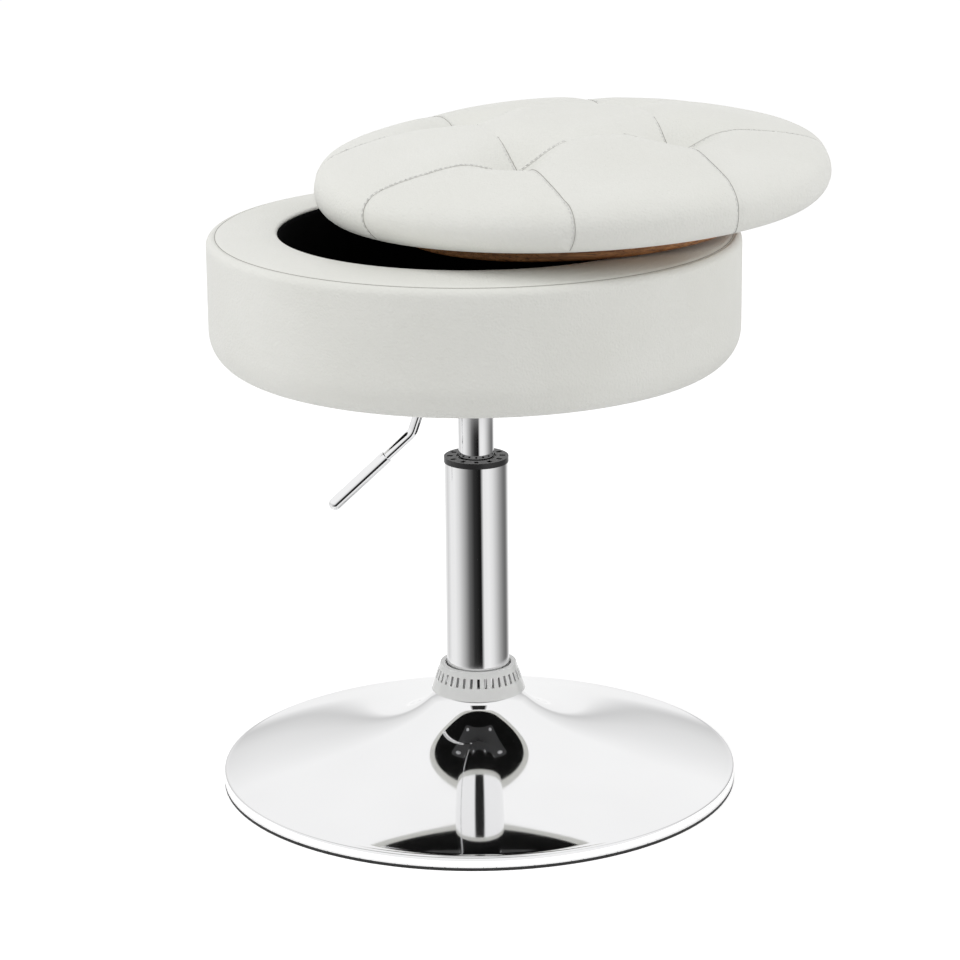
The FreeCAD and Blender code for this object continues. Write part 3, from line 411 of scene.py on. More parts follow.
def range_of(nodes, links, value, low, high):
    node = add_node(nodes, "ShaderNodeMapRange", To_Min=low, To_Max=high)
    links.new(value, node.inputs["Value"])
    return node.outputs["Result"]


def bump_of(nodes, links, height, distance, strength, under=None):
    node = add_node(nodes, "ShaderNodeBump", Distance=distance, Strength=strength)
    links.new(height, node.inputs["Height"])
    if under:
        links.new(under, node.inputs["Normal"])
    return node.outputs["Normal"]


def leather_material(name, light, dark):
    """Faux leather: a fine pebble grain, faint blotches and a soft satin sheen."""
    material, nodes, links, shader = new_material(name)
    space = object_space(nodes, links)
    blotch = noise_of(nodes, links, space, 9, 4)
    links.new(ramp_of(nodes, links, blotch, [(0.3, dark), (0.7, light)]), shader.inputs["Base Color"])
    gloss = noise_of(nodes, links, space, 140, 3)
    links.new(range_of(nodes, links, gloss, 0.42, 0.56), shader.inputs["Roughness"])
    pebble = add_node(nodes, "ShaderNodeTexVoronoi", feature="SMOOTH_F1", Scale=560.0, Smoothness=0.6)
    links.new(space, pebble.inputs["Vector"])
    pucker = noise_of(nodes, links, space, 55, 3)
    soft = bump_of(nodes, links, pucker, 0.0012, 0.12)
    grain = bump_of(nodes, links, pebble.outputs["Distance"], 0.0007, 0.45, soft)
    links.new(grain, shader.inputs["Normal"])
    shader.inputs["Specular IOR Level"].default_value = 0.38
    shader.inputs["Sheen Weight"].default_value = 0.06
    return material


def chrome_material(name, tone):
    """Polished plating with faint wiping marks."""
    material, nodes, links, shader = new_material(name)
    space = object_space(nodes, links, scale=(1, 1, 0.25))
    wipe = noise_of(nodes, links, space, 60, 5, 0.65)
    links.new(range_of(nodes, links, wipe, 0.025, 0.065), shader.inputs["Roughness"])
    tint = noise_of(nodes, links, space, 7, 2)
    shade = tuple(0.96 * c for c in tone)
    links.new(ramp_of(nodes, links, tint, [(0.3, shade), (0.7, tone)]), shader.inputs["Base Color"])
    shader.inputs["Metallic"].default_value = 1
    return material


def metal_material(name, tone, rough, streak):
    """Machined or painted metal with fine streaks."""
    material, nodes, links, shader = new_material(name)
    space = object_space(nodes, links, scale=streak)
    line = noise_of(nodes, links, space, 90, 4)
    shade = tuple(0.82 * c for c in tone)
    links.new(ramp_of(nodes, links, line, [(0.3, shade), (0.7, tone)]), shader.inputs["Base Color"])
    links.new(range_of(nodes, links, line, rough * 0.75, rough * 1.25), shader.inputs["Roughness"])
    links.new(bump_of(nodes, links, line, 0.0002, 0.15), shader.inputs["Normal"])
    shader.inputs["Metallic"].default_value = 1
    return material


def moulded_material(name, tone, rough, grain, metres):
    """Moulded plastic, rubber or powder coat with a fine skin."""
    material, nodes, links, shader = new_material(name)
    space = object_space(nodes, links)
    skin = noise_of(nodes, links, space, grain, 2)
    shade = tuple(0.8 * c for c in tone)
    links.new(ramp_of(nodes, links, skin, [(0.3, shade), (0.7, tone)]), shader.inputs["Base Color"])
    links.new(range_of(nodes, links, skin, rough * 0.85, rough * 1.15), shader.inputs["Roughness"])
    links.new(bump_of(nodes, links, skin, metres, 0.3), shader.inputs["Normal"])
    return material


def clear_material(name):
    """Clear moulded plastic with a faint green tint."""
    material, nodes, links, shader = new_material(name)
    space = object_space(nodes, links)
    flow = noise_of(nodes, links, space, 120, 2)
    links.new(range_of(nodes, links, flow, 0.03, 0.12), shader.inputs["Roughness"])
    links.new(bump_of(nodes, links, flow, 0.0006, 0.25), shader.inputs["Normal"])
    shader.inputs["Base Color"].default_value = (0.95, 0.955, 0.94, 1)
    shader.inputs["Transmission Weight"].default_value = 0.15
    shader.inputs["IOR"].default_value = 1.5
    shader.inputs["Coat Weight"].default_value = 0.8
    shader.inputs["Coat Roughness"].default_value = 0.05
    return material


def cloth_material(name, tone):
    """Black woven lining."""
    material, nodes, links, shader = new_material(name)
    space = object_space(nodes, links)
    threads = []
    for direction in ("X", "Z"):
        wave = add_node(nodes, "ShaderNodeTexWave", bands_direction=direction, Scale=420.0, Distortion=0.6)
        links.new(space, wave.inputs["Vector"])
        threads.append(wave.outputs["Fac"])
    weave = nodes.new("ShaderNodeMath")
    weave.operation = "MULTIPLY"
    links.new(threads[0], weave.inputs[0])
    links.new(threads[1], weave.inputs[1])
    shade = tuple(0.5 * c for c in tone)
    colour = ramp_of(nodes, links, weave.outputs[0], [(0.0, shade), (1.0, tone)])
    links.new(colour, shader.inputs["Base Color"])
    links.new(bump_of(nodes, links, weave.outputs[0], 0.0004, 0.4), shader.inputs["Normal"])
    shader.inputs["Roughness"].default_value = 0.95
    shader.inputs["Specular IOR Level"].default_value = 0.08
    return material


def wood_material(name, dark, middle, light, along, across):
    """Long-grained wood: stretched streaks with fine pores."""
    material, nodes, links, shader = new_material(name)
    space = object_space(nodes, links, scale=(along, across, across * 2.2))
    streak = noise_of(nodes, links, space, 1, 6, 0.6)
    tone = ramp_of(nodes, links, streak, [(0.28, dark), (0.5, middle), (0.72, light)])
    pores_space = object_space(nodes, links, scale=(along * 3, across * 6, across * 9))
    pores = noise_of(nodes, links, pores_space, 1, 2)
    pore_tone = ramp_of(nodes, links, pores, [(0.33, tuple(0.45 * c for c in dark)), (0.46, (1, 1, 1))])
    mix = nodes.new("ShaderNodeMix")
    mix.data_type = "RGBA"
    mix.blend_type = "MULTIPLY"
    mix.inputs["Factor"].default_value = 0.75
    links.new(tone, mix.inputs["A"])
    links.new(pore_tone, mix.inputs["B"])
    links.new(mix.outputs["Result"], shader.inputs["Base Color"])
    links.new(range_of(nodes, links, streak, 0.35, 0.6), shader.inputs["Roughness"])
    links.new(bump_of(nodes, links, pores, 0.0004, 0.35), shader.inputs["Normal"])
    return material


def thread_material(name, tone):
    """Twisted sewing thread."""
    material, nodes, links, shader = new_material(name)
    space = object_space(nodes, links)
    wave = add_node(nodes, "ShaderNodeTexWave", bands_direction="DIAGONAL", Scale=1500.0)
    links.new(space, wave.inputs["Vector"])
    shade = tuple(0.75 * c for c in tone)
    colour = ramp_of(nodes, links, wave.outputs["Fac"], [(0.2, shade), (0.8, tone)])
    links.new(colour, shader.inputs["Base Color"])
    links.new(bump_of(nodes, links, wave.outputs["Fac"], 0.0002, 0.4), shader.inputs["Normal"])
    shader.inputs["Roughness"].default_value = 0.6
    return material


LEATHER = leather_material("white_faux_leather", light=(0.82, 0.82, 0.78), dark=(0.78, 0.78, 0.735))
CHROME = chrome_material("chrome_plate", (0.90, 0.90, 0.905))
STEEL = metal_material("machined_steel", (0.55, 0.55, 0.56), rough=0.34, streak=(1, 1, 14))
BRASS = metal_material("pressed_brass", (0.72, 0.53, 0.24), rough=0.35, streak=(1, 1, 6))
BLACK_COAT = moulded_material(
    "black_powder_coat", (0.022, 0.022, 0.023), rough=0.5, grain=900, metres=0.0003
)
RUBBER = moulded_material("black_rubber", (0.016, 0.016, 0.016), rough=0.7, grain=500, metres=0.0004)
BLACK_PLASTIC = moulded_material(
    "black_moulded_plastic", (0.012, 0.012, 0.013), rough=0.32, grain=700, metres=0.0002
)
PALE_PLASTIC = moulded_material(
    "pale_moulded_plastic", (0.62, 0.62, 0.60), rough=0.38, grain=500, metres=0.0002
)
CLEAR = clear_material("clear_plastic")
LINING = cloth_material("black_lining_cloth", (0.006, 0.006, 0.0065))
DUST_CLOTH = cloth_material("black_dust_cloth", (0.008, 0.008, 0.008))
TRAY_WOOD = wood_material(
    "walnut_tray", (0.14, 0.05, 0.016), (0.40, 0.17, 0.055), (0.60, 0.30, 0.12), along=5, across=240
)
BOARD_WOOD = wood_material(
    "raw_board", (0.30, 0.20, 0.115), (0.42, 0.30, 0.18), (0.52, 0.39, 0.25), along=18, across=70
)
WHITE_THREAD = thread_material("white_thread", (0.9, 0.9, 0.88))
# Painted shade for the seams: a dark grey line and a pale grey line laid in the seam creases, made with the
# thread look
SEAM_SHADE = thread_material("dark_seam_painted_shade", (0.46, 0.45, 0.42))
PALE_PAINTED_SHADE = thread_material("pale_seam_painted_shade", (0.68, 0.675, 0.64))

CAD_LOOKS = {
    CHROME: ["column_tube", "gas_cylinder", "lever_rod", "lever_grip"],
    STEEL: [
        "base_socket", "column_foot_plate", "bearing_lower_race", "bearing_upper_race", "bearing_balls",
        "piston_rod", "piston_head", "rod_washer", "retaining_clip", "cylinder_gland", "valve_body",
        "release_pin", "lever_pivot_pin", "plate_bolts", "bolt_washers", "tee_nuts", "tray_screws",
    ],
    BRASS: ["bearing_cage"],
    BLACK_COAT: ["seat_hub", "seat_plate", "lever_bracket"],
    RUBBER: ["base_floor_ring", "piston_seal", "rubber_buffer"],
    BLACK_PLASTIC: ["column_collar"],
    PALE_PLASTIC: ["guide_bush"],
    CLEAR: ["trim_ring"],
    BOARD_WOOD: ["drum_floor_board", "drum_wall", "lid_board"],
    TRAY_WOOD: ["lid_tray"],
}
for look, names in CAD_LOOKS.items():
    for node_name in names:
        node_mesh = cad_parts[node_name].data
        node_mesh.materials.clear()
        node_mesh.materials.append(look)


def finish_piece(obj, body):
    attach(obj, body)
    return obj


# Base: the spun trumpet, turned finely enough to mirror cleanly


def dish_outline():
    """The dish's outer section from the rim's foot to the top of its neck."""
    rim = DISH_HIGH.x - DISH_SHEET
    points = straight((DISH_HIGH.x, DISH_LOW.z), (DISH_HIGH.x, DISH_RIM - DISH_SHEET), RIM_STEPS)
    points += arc((rim, DISH_RIM - DISH_SHEET), DISH_SHEET, 0, 90, ROLL_STEPS)
    run = rim - RING_FOOT

    def plain_drop(out):
        return DISH_FALL * out + DISH_STEEP * DISH_TURN * (1 - math.exp(-out / DISH_TURN))

    droop = RING_LEVEL - DISH_RIM - plain_drop(run)
    steps = 64
    for i in range(1, steps + 1):
        out = run * (1 - i / steps)
        bent = max(RING_FOOT + out - DROOP_START, 0) / (rim - DROOP_START)
        points.append((RING_FOOT + out, RING_LEVEL - plain_drop(out) - droop * bent ** 3))
    turn = (NECK_RADIUS, RING_LEVEL + (RING_FOOT - NECK_RADIUS) * (DISH_STEEP + DISH_FALL))
    for t in np.linspace(0, 1, 13)[1:]:
        weights = ((1 - t) ** 2, 2 * t * (1 - t), t ** 2)
        ends = ((RING_FOOT, RING_LEVEL), turn, (NECK_RADIUS, DISH_HIGH.z))
        points.append(tuple(sum(w * end[axis] for w, end in zip(weights, ends)) for axis in (0, 1)))
    return points


def make_dish():
    """The dish as a sheet of even thickness, with a square corner inside its rolled rim."""
    outer = np.array(dish_outline())
    along = np.gradient(outer, axis=0)
    along /= np.linalg.norm(along, axis=1)[:, None]
    inner = outer + np.stack([-along[:, 1], along[:, 0]], axis=1) * DISH_SHEET
    inner[:, 1] = np.maximum(inner[:, 1], DISH_LOW.z)
    rolled = RIM_STEPS + ROLL_STEPS
    inner[:RIM_STEPS + 1, 0] = DISH_HIGH.x - DISH_SHEET
    inner[RIM_STEPS + 1:rolled] = (DISH_HIGH.x - DISH_SHEET, DISH_RIM - DISH_SHEET)
    inner[-1, 1] = DISH_HIGH.z
    keep = [0, RIM_STEPS] + list(range(rolled, len(inner)))
    section = [tuple(p) for p in outer] + [tuple(inner[i]) for i in reversed(keep)]
    dish = ring_grid("base_dish_shell", section, 360, True)
    dish.data.materials.append(CHROME)
    return dish


dish_shell = finish_piece(make_dish(), "base")
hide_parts("base_dish")


# Drum: one padded ring under a sewn cover


def drum_profile():
    """The padded ring's section, anticlockwise from the lower inside corner.

    Also gives the seam's place in it and the count of points that can swell.
    """
    flat = DRUM_RADIUS - DRUM_CORNER
    inner = WALL_HIGH.x + COVER_GAP
    rise = RIM_HEIGHT - SEAM_HEIGHT
    run = SEAM_RADIUS - (WELL_RADIUS + RIM_ROLL)
    points = straight((inner, DRUM_BOTTOM), (flat, DRUM_BOTTOM), 3)
    points += arc((flat, DRUM_BOTTOM + DRUM_CORNER), DRUM_CORNER, -90, 0, 11)
    side_low = (DRUM_RADIUS, DRUM_BOTTOM + DRUM_CORNER)
    side_high = (DRUM_RADIUS, SEAM_HEIGHT - DRUM_SHOULDER)
    points += straight(side_low, side_high, 16)[1:]
    points += arc((SEAM_RADIUS, SEAM_HEIGHT - DRUM_SHOULDER), DRUM_SHOULDER, 0, 90, 7)
    seam = len(points) - 1
    steps = 14
    swell = run * run / (8 * CROWN_RADIUS)
    for i in range(1, steps + 1):
        share = i / steps
        height = SEAM_HEIGHT + rise * share + 4 * swell * share * (1 - share)
        points.append((SEAM_RADIUS - run * share, height))
    rim = (WELL_RADIUS + RIM_ROLL, RIM_HEIGHT - RIM_ROLL)
    points += arc(rim, RIM_ROLL, 90, 180, 4)[1:]
    free = len(points)
    underside = WALL_HIGH.z + COVER_GAP
    lip = WELL_RADIUS + COVER_SHEET
    points += straight((lip, RIM_HEIGHT - RIM_ROLL), (lip, underside), 2)
    points += straight((lip, underside), (inner, underside), 3)
    points += straight((inner, underside), (inner, DRUM_BOTTOM), 12)
    return points, seam, free


def make_drum():
    """The padded ring, held along its underside, its inner rim and its seam while the rest swells."""
    profile, seam, free = drum_profile()
    count = 320
    drum = ring_grid("drum_cover", profile, count, True)
    rows = len(profile)
    underside_rows = 4
    rim_rows = 3
    pins = np.ones((count, rows))
    pins[:, underside_rows:free - rim_rows] = 0
    pins[:, seam] = 1
    pins[:, seam - 1:seam + 2] = np.maximum(pins[:, seam - 1:seam + 2], SEAM_HOLD)
    inflate(drum, pins.ravel(), DRUM_PRESSURE, DRUM_SWELL)
    drum.data.materials.append(LEATHER)
    subdivide(drum)
    points = positions(drum)
    normals = normals_of(drum)
    radius = np.hypot(points[:, 0], points[:, 1])
    off = np.hypot(radius - SEAM_RADIUS, points[:, 2] - SEAM_HEIGHT)
    groove = DRUM_GROOVE * bell(off, DRUM_GROOVE_SPREAD)
    set_positions(drum, points - normals * groove[:, None])
    return drum


def drum_seam_path(tree):
    """The seam round the drum's top as (point, normal) pairs on the cover."""
    steps = 720
    lean = 1.6
    out = []
    for i in range(steps + 1):
        angle = 2 * math.pi * i / steps
        away = Vector((math.cos(angle), math.sin(angle), lean)).normalized()
        place = Vector((SEAM_RADIUS * math.cos(angle), SEAM_RADIUS * math.sin(angle), SEAM_HEIGHT))
        spot, normal, _, _ = tree.ray_cast(place + away * DRUM_SEARCH, -away)
        out.append((spot, normal))
    return out


drum_cover = make_drum()
drum_seam = drum_seam_path(tree_of(drum_cover))
finish_piece(drum_cover, "seat")
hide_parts("drum_side_cover", "drum_top_cover", "drum_foam")

# A dark line of painted shade laid along the drum's seam crease
drum_seam_shade_line = thread_runs(
    "drum_seam_dark_painted_shade", [drum_seam], radius=0.34 * MM, lift=0.1 * MM, material=SEAM_SHADE
)
finish_piece(drum_seam_shade_line, "seat")
drum_stitches = stitches(
    "drum_seam_stitches",
    [drum_seam],
    pitch=4.2 * MM,
    length=3.1 * MM,
    radius=0.34 * MM,
    shift=1.7 * MM,
    lift=0.1 * MM,
    material=WHITE_THREAD,
)
finish_piece(drum_stitches, "seat")


# Well lining, floor pad and dust cover


def disc_sheet(name, radius, foot, thick, waves, material):
    """A round cloth with faint ripples, thickened into a closed sheet."""
    rings = 40
    sectors = 120
    verts, faces = [], []
    for top in (1, 0):
        verts.append((0, 0, foot + thick * top))
        for i in range(1, rings + 1):
            r = radius * i / rings
            for k in range(sectors):
                angle = 2 * math.pi * k / sectors
                ripple = waves * math.sin(5 * angle + 30 * r) * math.sin(math.pi * i / rings)
                z = foot + thick * top + (ripple if top else max(ripple, 0) * 0.5)
                verts.append((r * math.cos(angle), r * math.sin(angle), z))
    layer = 1 + rings * sectors
    for top, start in ((1, 0), (0, layer)):
        for k in range(sectors):
            side = (k + 1) % sectors
            fan = (start, start + 1 + k, start + 1 + side)
            faces.append(fan if top else fan[::-1])
            for i in range(rings - 1):
                a = start + 1 + i * sectors
                quad = (a + k, a + sectors + k, a + sectors + side, a + side)
                faces.append(quad if top else quad[::-1])
    edge = 1 + (rings - 1) * sectors
    for k in range(sectors):
        side = (k + 1) % sectors
        faces.append((edge + k, layer + edge + k, layer + edge + side, edge + side))
    return add_mesh(name, verts, faces, material)


def make_lining():
    """The well's cloth wall, drawn in a little between its glue lines."""
    rows = 24
    count = 240
    thick = 0.8 * MM
    gap = 0.1 * MM
    gathers = 34
    depth = 0.5 * MM
    profile_in, profile_out = [], []
    for i in range(rows + 1):
        share = i / rows
        z = LINING_FOOT + (LINING_TOP - LINING_FOOT) * share
        profile_in.append((WELL_RADIUS + gap, z))
        profile_out.append((WELL_RADIUS + gap + thick, z))
    lining = ring_grid("well_lining_cloth", profile_in + profile_out[::-1], count, True)
    points = positions(lining)
    angle = np.arctan2(points[:, 1], points[:, 0])
    share = (points[:, 2] - LINING_FOOT) / (LINING_TOP - LINING_FOOT)
    gather = depth * np.sin(angle * gathers) * np.sin(np.pi * np.clip(share, 0, 1))
    radius = np.hypot(points[:, 0], points[:, 1])
    drawn = np.where(radius < WELL_RADIUS + gap + thick / 2, np.minimum(gather, 0), 0)
    points[:, 0] += drawn * np.cos(angle)
    points[:, 1] += drawn * np.sin(angle)
    set_positions(lining, points)
    lining.data.materials.append(LINING)
    return lining


lining = finish_piece(make_lining(), "seat")
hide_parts("well_lining")

pad_low, pad_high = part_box("well_floor_pad")
pad_radius = pad_high.x - 0.4 * MM
floor_cloth = disc_sheet(
    "well_floor_cloth", pad_radius, pad_low.z, thick=1.2 * MM, waves=0.25 * MM, material=LINING
)
finish_piece(floor_cloth, "seat")
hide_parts("well_floor_pad")

dust_low, dust_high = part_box("drum_dust_cover")
dust_thick = dust_high.z - dust_low.z
dust_cloth = disc_sheet(
    "dust_cover_cloth", dust_high.x, dust_low.z, thick=dust_thick, waves=0.0, material=DUST_CLOTH
)
finish_piece(dust_cloth, "seat")
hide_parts("drum_dust_cover")


# Lid cushion: a crowned round form, sewn into panels and drawn down at four tufts

board_low, board_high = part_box("lid_board")
LID_TURN = Matrix.Rotation(LID_TILT, 4, "Y")
LID_PLACE = Matrix.Translation((board_low + board_high) / 2 + LID_NUDGE) @ LID_TURN
LID_PLACE = LID_PLACE @ Matrix.Translation((0, 0, -BOARD_MIDDLE))


def lid_crown():
    """The crown's centre height and radius, and the angle where it meets the shoulder."""
    rise = LID_HEIGHT - LID_EDGE
    reach = LID_RADIUS - LID_SHOULDER
    radius = (reach ** 2 + rise ** 2 - LID_SHOULDER ** 2) / (2 * (rise - LID_SHOULDER))
    centre = LID_HEIGHT - radius
    return centre, radius, math.atan2(LID_EDGE - centre, reach)


def lid_profile(inset):
    """The cushion's outline from the middle of its top to its underside, with outward normals."""
    centre, radius, meet = lid_crown()
    outline = []
    for angle in np.linspace(math.pi / 2, meet, 44):
        outline.append((0, centre, radius, angle))
    for angle in np.linspace(meet, 0, 16)[1:]:
        outline.append((LID_RADIUS - LID_SHOULDER, LID_EDGE, LID_SHOULDER, angle))
    for angle in np.linspace(0, -math.pi / 2, 12)[1:]:
        outline.append((LID_RADIUS - LID_EDGE, LID_EDGE, LID_EDGE, angle))
    points = []
    for r, z, reach, angle in outline:
        normal = (math.cos(angle), math.sin(angle))
        points.append((r + (reach - inset) * normal[0], z + (reach - inset) * normal[1], *normal))
    return points


def seam_frame(points):
    """Distances to the nearest seam and the nearest tuft, in plan, for points in the lid's own frame."""
    cosine = math.cos(TUFT_TURN)
    sine = math.sin(TUFT_TURN)
    turn = np.array([[cosine, sine], [-sine, cosine]])
    plan = np.abs((points[:, :2] - TUFT_SHIFT) @ turn.T)
    off = np.abs(plan - TUFT_OFFSET)
    return off.min(axis=1), np.hypot(off[:, 0], off[:, 1])


def lid_to_world(points):
    matrix = np.array(LID_PLACE)
    return points @ matrix[:3, :3].T + matrix[:3, 3]


def make_lid_form():
    """The unsewn cushion as an even closed mesh with its broad dips."""
    outline = lid_profile(LID_INSET)
    count = 200
    verts = [(0, 0, outline[0][1])]
    for r, z, _, _ in outline[1:]:
        for k in range(count):
            angle = 2 * math.pi * k / count
            verts.append((r * math.cos(angle), r * math.sin(angle), z))
    verts.append((0, 0, outline[-1][1]))
    rings = len(outline) - 1
    faces = [(0, 1 + k, 1 + (k + 1) % count) for k in range(count)]
    for i in range(rings - 1):
        a = 1 + i * count
        for k in range(count):
            side = (k + 1) % count
            faces.append((a + k, a + count + k, a + count + side, a + side))
    last = 1 + (rings - 1) * count
    end = len(verts) - 1
    faces += [(last + k, end, last + (k + 1) % count) for k in range(count)]
    lid = add_mesh("lid_cushion", verts, faces)
    remesh = lid.modifiers.new("even", "REMESH")
    remesh.mode = "VOXEL"
    remesh.voxel_size = LID_VOXEL
    apply_modifiers(lid)
    points = positions(lid)
    seam, tuft = seam_frame(points)
    upper = np.clip((points[:, 2] - LID_EDGE) / (LID_HEIGHT - LID_EDGE) * CROWN_GAIN, 0, 1)
    radius = np.hypot(points[:, 0], points[:, 1])
    inside = np.clip((SEAM_FADE_END - radius) / SEAM_FADE, SEAM_LEAST, 1)
    dip = TUFT_DEPTH * bell(tuft, TUFT_SPREAD)
    dip += SEAM_DEPTH * bell(seam, SEAM_SPREAD) * inside
    dip += SAG_DEPTH * bell(radius, SAG_SPREAD)
    points[:, 2] -= (dip - LID_LEAN * np.minimum(points[:, 1], 0)) * upper
    side = np.clip(1 - upper, 0, 1) * np.clip((points[:, 2] - SIDE_FOOT) / SIDE_FADE, 0, 1)
    pull = SIDE_PULL * bell(seam, SIDE_PULL_SPREAD) * side
    points[:, :2] *= (1 - pull / np.maximum(radius, 1e-6))[:, None]
    set_positions(lid, points)
    return lid


def make_lid():
    """The sewn cushion, swollen between its seams and tufts."""
    lid = make_lid_form()
    points = positions(lid)
    seam, tuft = seam_frame(points)
    pins = np.where(points[:, 2] < UNDERSIDE_TOP, 1.0, 0.0)
    pins = np.maximum(pins, np.where(seam < SEAM_STRIP, SEAM_HOLD, 0.0))
    pins = np.maximum(pins, np.where(tuft < TUFT_DISC, 1.0, 0.0))
    inflate(lid, pins, LID_PRESSURE, LID_SWELL)
    lid.data.materials.append(LEATHER)
    subdivide(lid)
    points = positions(lid)
    normals = normals_of(lid)
    seam, tuft = seam_frame(points)
    shown = np.clip((normals[:, 2] + 0.85) / 0.3, 0, 1)
    groove = LID_GROOVE * bell(seam, LID_GROOVE_SPREAD) + TUFT_PIT * bell(tuft, TUFT_PIT_SPREAD)
    set_positions(lid, points - normals * (groove * shown)[:, None])
    return lid


def seam_paths(tree):
    """The eight half seams on the cushion's surface, each from a seam's middle to the lid's lower edge."""
    outline = lid_profile(0)
    paths = []
    for quarter in range(4):
        turn = Matrix.Rotation(TUFT_TURN + quarter * math.pi / 2, 3, "Z")
        for direction in (1, -1):
            path = []
            for r, z, out, up in outline:
                if r < TUFT_OFFSET or up < SEAM_END:
                    continue
                along = direction * math.sqrt(r * r - TUFT_OFFSET * TUFT_OFFSET)
                spot = Vector((along, TUFT_OFFSET, z))
                away = Vector((out * along / r, out * TUFT_OFFSET / r, up))
                spot = turn @ spot + Vector((*TUFT_SHIFT, 0))
                away = (turn @ away).normalized()
                found, normal, _, _ = tree.ray_cast(spot + away * LID_SEARCH, -away)
                if found:
                    path.append((found, normal))
            paths.append(path)
    return paths


lid_cushion = make_lid()
lid_paths = seam_paths(tree_of(lid_cushion))
across_paths = lid_paths[0:2] + lid_paths[4:6]
down_paths = lid_paths[2:4] + lid_paths[6:8]
across_tops = [[spot for spot in path if spot[1].z > PALE_SHADE_FACING] for path in across_paths]
across_sides = [[spot for spot in path if spot[1].z < DARK_SHADE_FACING] for path in across_paths]
# Painted shade along the lid seams: a pale line on the tops of the seams that run across, a dark line on
# their sides and along the seams that run front to back
lid_pale_shade_line = thread_runs(
    "lid_seam_pale_painted_shade", across_tops, radius=0.22 * MM, lift=0.1 * MM, material=PALE_PAINTED_SHADE
)
lid_dark_shade_line = thread_runs(
    "lid_seam_dark_painted_shade", across_sides + down_paths, radius=0.27 * MM, lift=0.12 * MM, material=SEAM_SHADE
)
lid_stitches = stitches(
    "lid_seam_stitches",
    lid_paths,
    pitch=4.0 * MM,
    length=3.0 * MM,
    radius=0.45 * MM,
    shift=1.4 * MM,
    lift=0.2 * MM,
    material=WHITE_THREAD,
)
for piece in (lid_cushion, lid_pale_shade_line, lid_dark_shade_line, lid_stitches):
    set_positions(piece, lid_to_world(positions(piece)))
    finish_piece(piece, "lid")
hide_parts("lid_cover", "lid_foam", "tuft_twines")


# Camera, studio and light

camera_data = bpy.data.cameras.new("camera")
camera_data.sensor_width = SENSOR_WIDTH
camera_data.lens = CAMERA_FOCUS * SENSOR_WIDTH / IMAGE_WIDTH
camera = bpy.data.objects.new("camera", camera_data)
bpy.context.scene.collection.objects.link(camera)
aim = Matrix.Rotation(CAMERA_YAW, 4, "Z") @ Matrix.Rotation(math.pi / 2 - CAMERA_PITCH, 4, "X")
aim = aim @ Matrix.Rotation(CAMERA_ROLL, 4, "Z")
camera.matrix_world = Matrix.Translation(CAMERA_PLACE) @ aim
bpy.context.scene.camera = camera


def seen_mix(nodes, links):
    """A value that is 1 for what the camera, mirrors and clear plastic see, and 0 for other light."""
    path = nodes.new("ShaderNodeLightPath")
    total = path.outputs["Is Camera Ray"]
    for name in ("Is Glossy Ray", "Is Transmission Ray"):
        joined = nodes.new("ShaderNodeMath")
        joined.operation = "MAXIMUM"
        links.new(total, joined.inputs[0])
        links.new(path.outputs[name], joined.inputs[1])
        total = joined.outputs[0]
    return total


# Light from all round on the object, and how brightly the floor shines to the camera and in mirrors
AMBIENT = 0.55
FLOOR_GLOW = 0.5


def make_world():
    world = bpy.data.worlds.new("studio")
    bpy.context.scene.world = world
    world.use_nodes = True
    nodes = world.node_tree.nodes
    links = world.node_tree.links
    background = nodes["Background"]
    background.inputs["Color"].default_value = (1, 1, 1, 1)
    strength = range_of(nodes, links, seen_mix(nodes, links), AMBIENT, 1.0)
    links.new(strength, background.inputs["Strength"])


def make_floor():
    material, nodes, links, shader = new_material("pale_floor")
    space = object_space(nodes, links)
    cloud = noise_of(nodes, links, space, 3)
    tone = ramp_of(nodes, links, cloud, [(0.3, (0.9, 0.9, 0.9)), (0.7, (0.93, 0.93, 0.93))])
    links.new(tone, shader.inputs["Base Color"])
    shader.inputs["Roughness"].default_value = 0.8
    shader.inputs["Specular IOR Level"].default_value = 0.0
    shader.inputs["Emission Color"].default_value = (1, 1, 1, 1)
    glow = range_of(nodes, links, seen_mix(nodes, links), 0.0, FLOOR_GLOW)
    links.new(glow, shader.inputs["Emission Strength"])
    bpy.ops.mesh.primitive_plane_add(size=14)
    floor = bpy.context.object
    floor.name = "floor"
    floor.data.materials.append(material)


def area_light(name, place, target, size, power):
    data = bpy.data.lights.new(name, "AREA")
    data.shape = "RECTANGLE"
    data.size, data.size_y = size
    data.energy = power
    lamp = bpy.data.objects.new(name, data)
    lamp.location = place
    lamp.rotation_euler = (Vector(target) - Vector(place)).to_track_quat("-Z", "Y").to_euler()
    bpy.context.scene.collection.objects.link(lamp)
    lamp.visible_camera = False
    lamp.visible_glossy = False


# What the chrome mirrors near the floor: (azimuth in degrees, rightwards from the front, brightness)
SCREEN_TONES = [
    (-180, 1.0), (-150, 0.9), (-130, 0.72), (-108, 0.92), (-86, 0.93), (-68, 0.77), (-47, 0.45),
    (-28, 0.145), (-10, 0.032), (8, 0.01), (14, 0.01), (18, 0.35), (24, 0.9), (42, 0.94), (58, 0.82),
    (75, 0.58), (89, 0.38), (106, 0.22), (120, 0.16), (132, 0.3), (150, 0.9), (180, 1.0),
]
SCREEN_RADIUS = 0.85
SCREEN_HEIGHT = 1.4

# The screen's lying part: its level and inner radii, and the radius inside which it is white
LYING_LEVEL = 0.002
LYING_RADII = (0.22, 0.28, 0.30)
WHITE_RADIUS = 0.29

# From this height the screen goes over to its upper tones, within the same height again
UPPER_FOOT = 0.06

# The upper tones all round: (height, brightness)
HORIZON_TONES = [(0.1, 0.62), (0.2, 0.8), (0.42, 1.0)]

# A dark card in front: half its width and its soft edge in degrees, its foot and that edge, its tone
CARD_SPREAD = 18
CARD_FADE = 8
CARD_FOOT = 0.82
CARD_FOOT_FADE = 0.05
CARD_TONE = 0.02


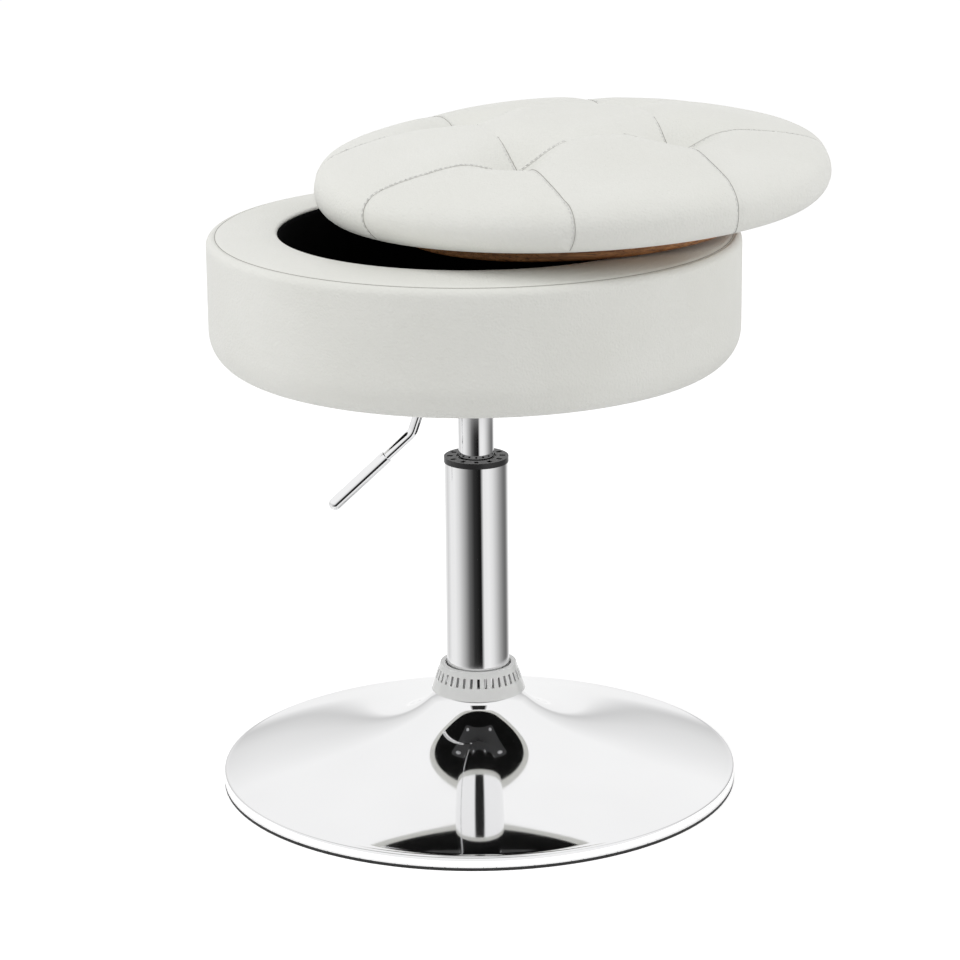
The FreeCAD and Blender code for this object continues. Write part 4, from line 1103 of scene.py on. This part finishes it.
def make_screen():
    """A round studio screen that only mirrors see, shaded from white to black."""
    columns = 720
    levels = [(r, LYING_LEVEL) for r in (*LYING_RADII, SCREEN_RADIUS)]
    levels += [(SCREEN_RADIUS, z) for z in np.linspace(2 * LYING_LEVEL, SCREEN_HEIGHT, 140)]
    screen = ring_grid("studio_screen", levels, columns, False)
    tones = np.array(SCREEN_TONES)
    points = positions(screen)
    azimuth = np.degrees(np.arctan2(points[:, 0], -points[:, 1]))
    lying = np.interp(azimuth, tones[:, 0], tones[:, 1])
    lying = np.where(np.hypot(points[:, 0], points[:, 1]) < WHITE_RADIUS, 1.0, lying)
    height = points[:, 2]
    beside = (np.abs(azimuth) - CARD_SPREAD) / CARD_FADE
    below = (CARD_FOOT - height) / CARD_FOOT_FADE
    card = np.clip(np.maximum(beside, below), CARD_TONE, 1)
    horizon = np.interp(height, *np.array(HORIZON_TONES).T)
    upper = np.clip((height - UPPER_FOOT) / UPPER_FOOT, 0, 1)
    shade = lying * (1 - upper) + np.minimum(horizon, card) * upper
    layer = screen.data.attributes.new("shade", "FLOAT", "POINT")
    layer.data.foreach_set("value", shade.astype(np.float32))
    material = bpy.data.materials.new("studio_screen")
    material.use_nodes = True
    nodes = material.node_tree.nodes
    links = material.node_tree.links
    nodes.clear()
    tone = nodes.new("ShaderNodeAttribute")
    tone.attribute_name = "shade"
    glow = nodes.new("ShaderNodeEmission")
    out = nodes.new("ShaderNodeOutputMaterial")
    links.new(tone.outputs["Fac"], glow.inputs["Strength"])
    links.new(glow.outputs[0], out.inputs["Surface"])
    screen.data.materials.append(material)
    screen.visible_camera = False
    screen.visible_diffuse = False
    screen.visible_shadow = False
    screen.visible_transmission = False


make_world()
make_floor()
make_screen()
area_light("left", place=(-2.4, -0.7, 1.1), target=(0, 0, 0.35), size=(1.2, 1.6), power=13)
area_light("right", place=(2.4, -0.7, 1.1), target=(0, 0, 0.35), size=(1.2, 1.6), power=13)
area_light("top", place=(-0.3, -0.5, 2.8), target=(0, 0, 0.5), size=(1.6, 1.6), power=19)

bpy.context.scene.view_settings.view_transform = "Standard"
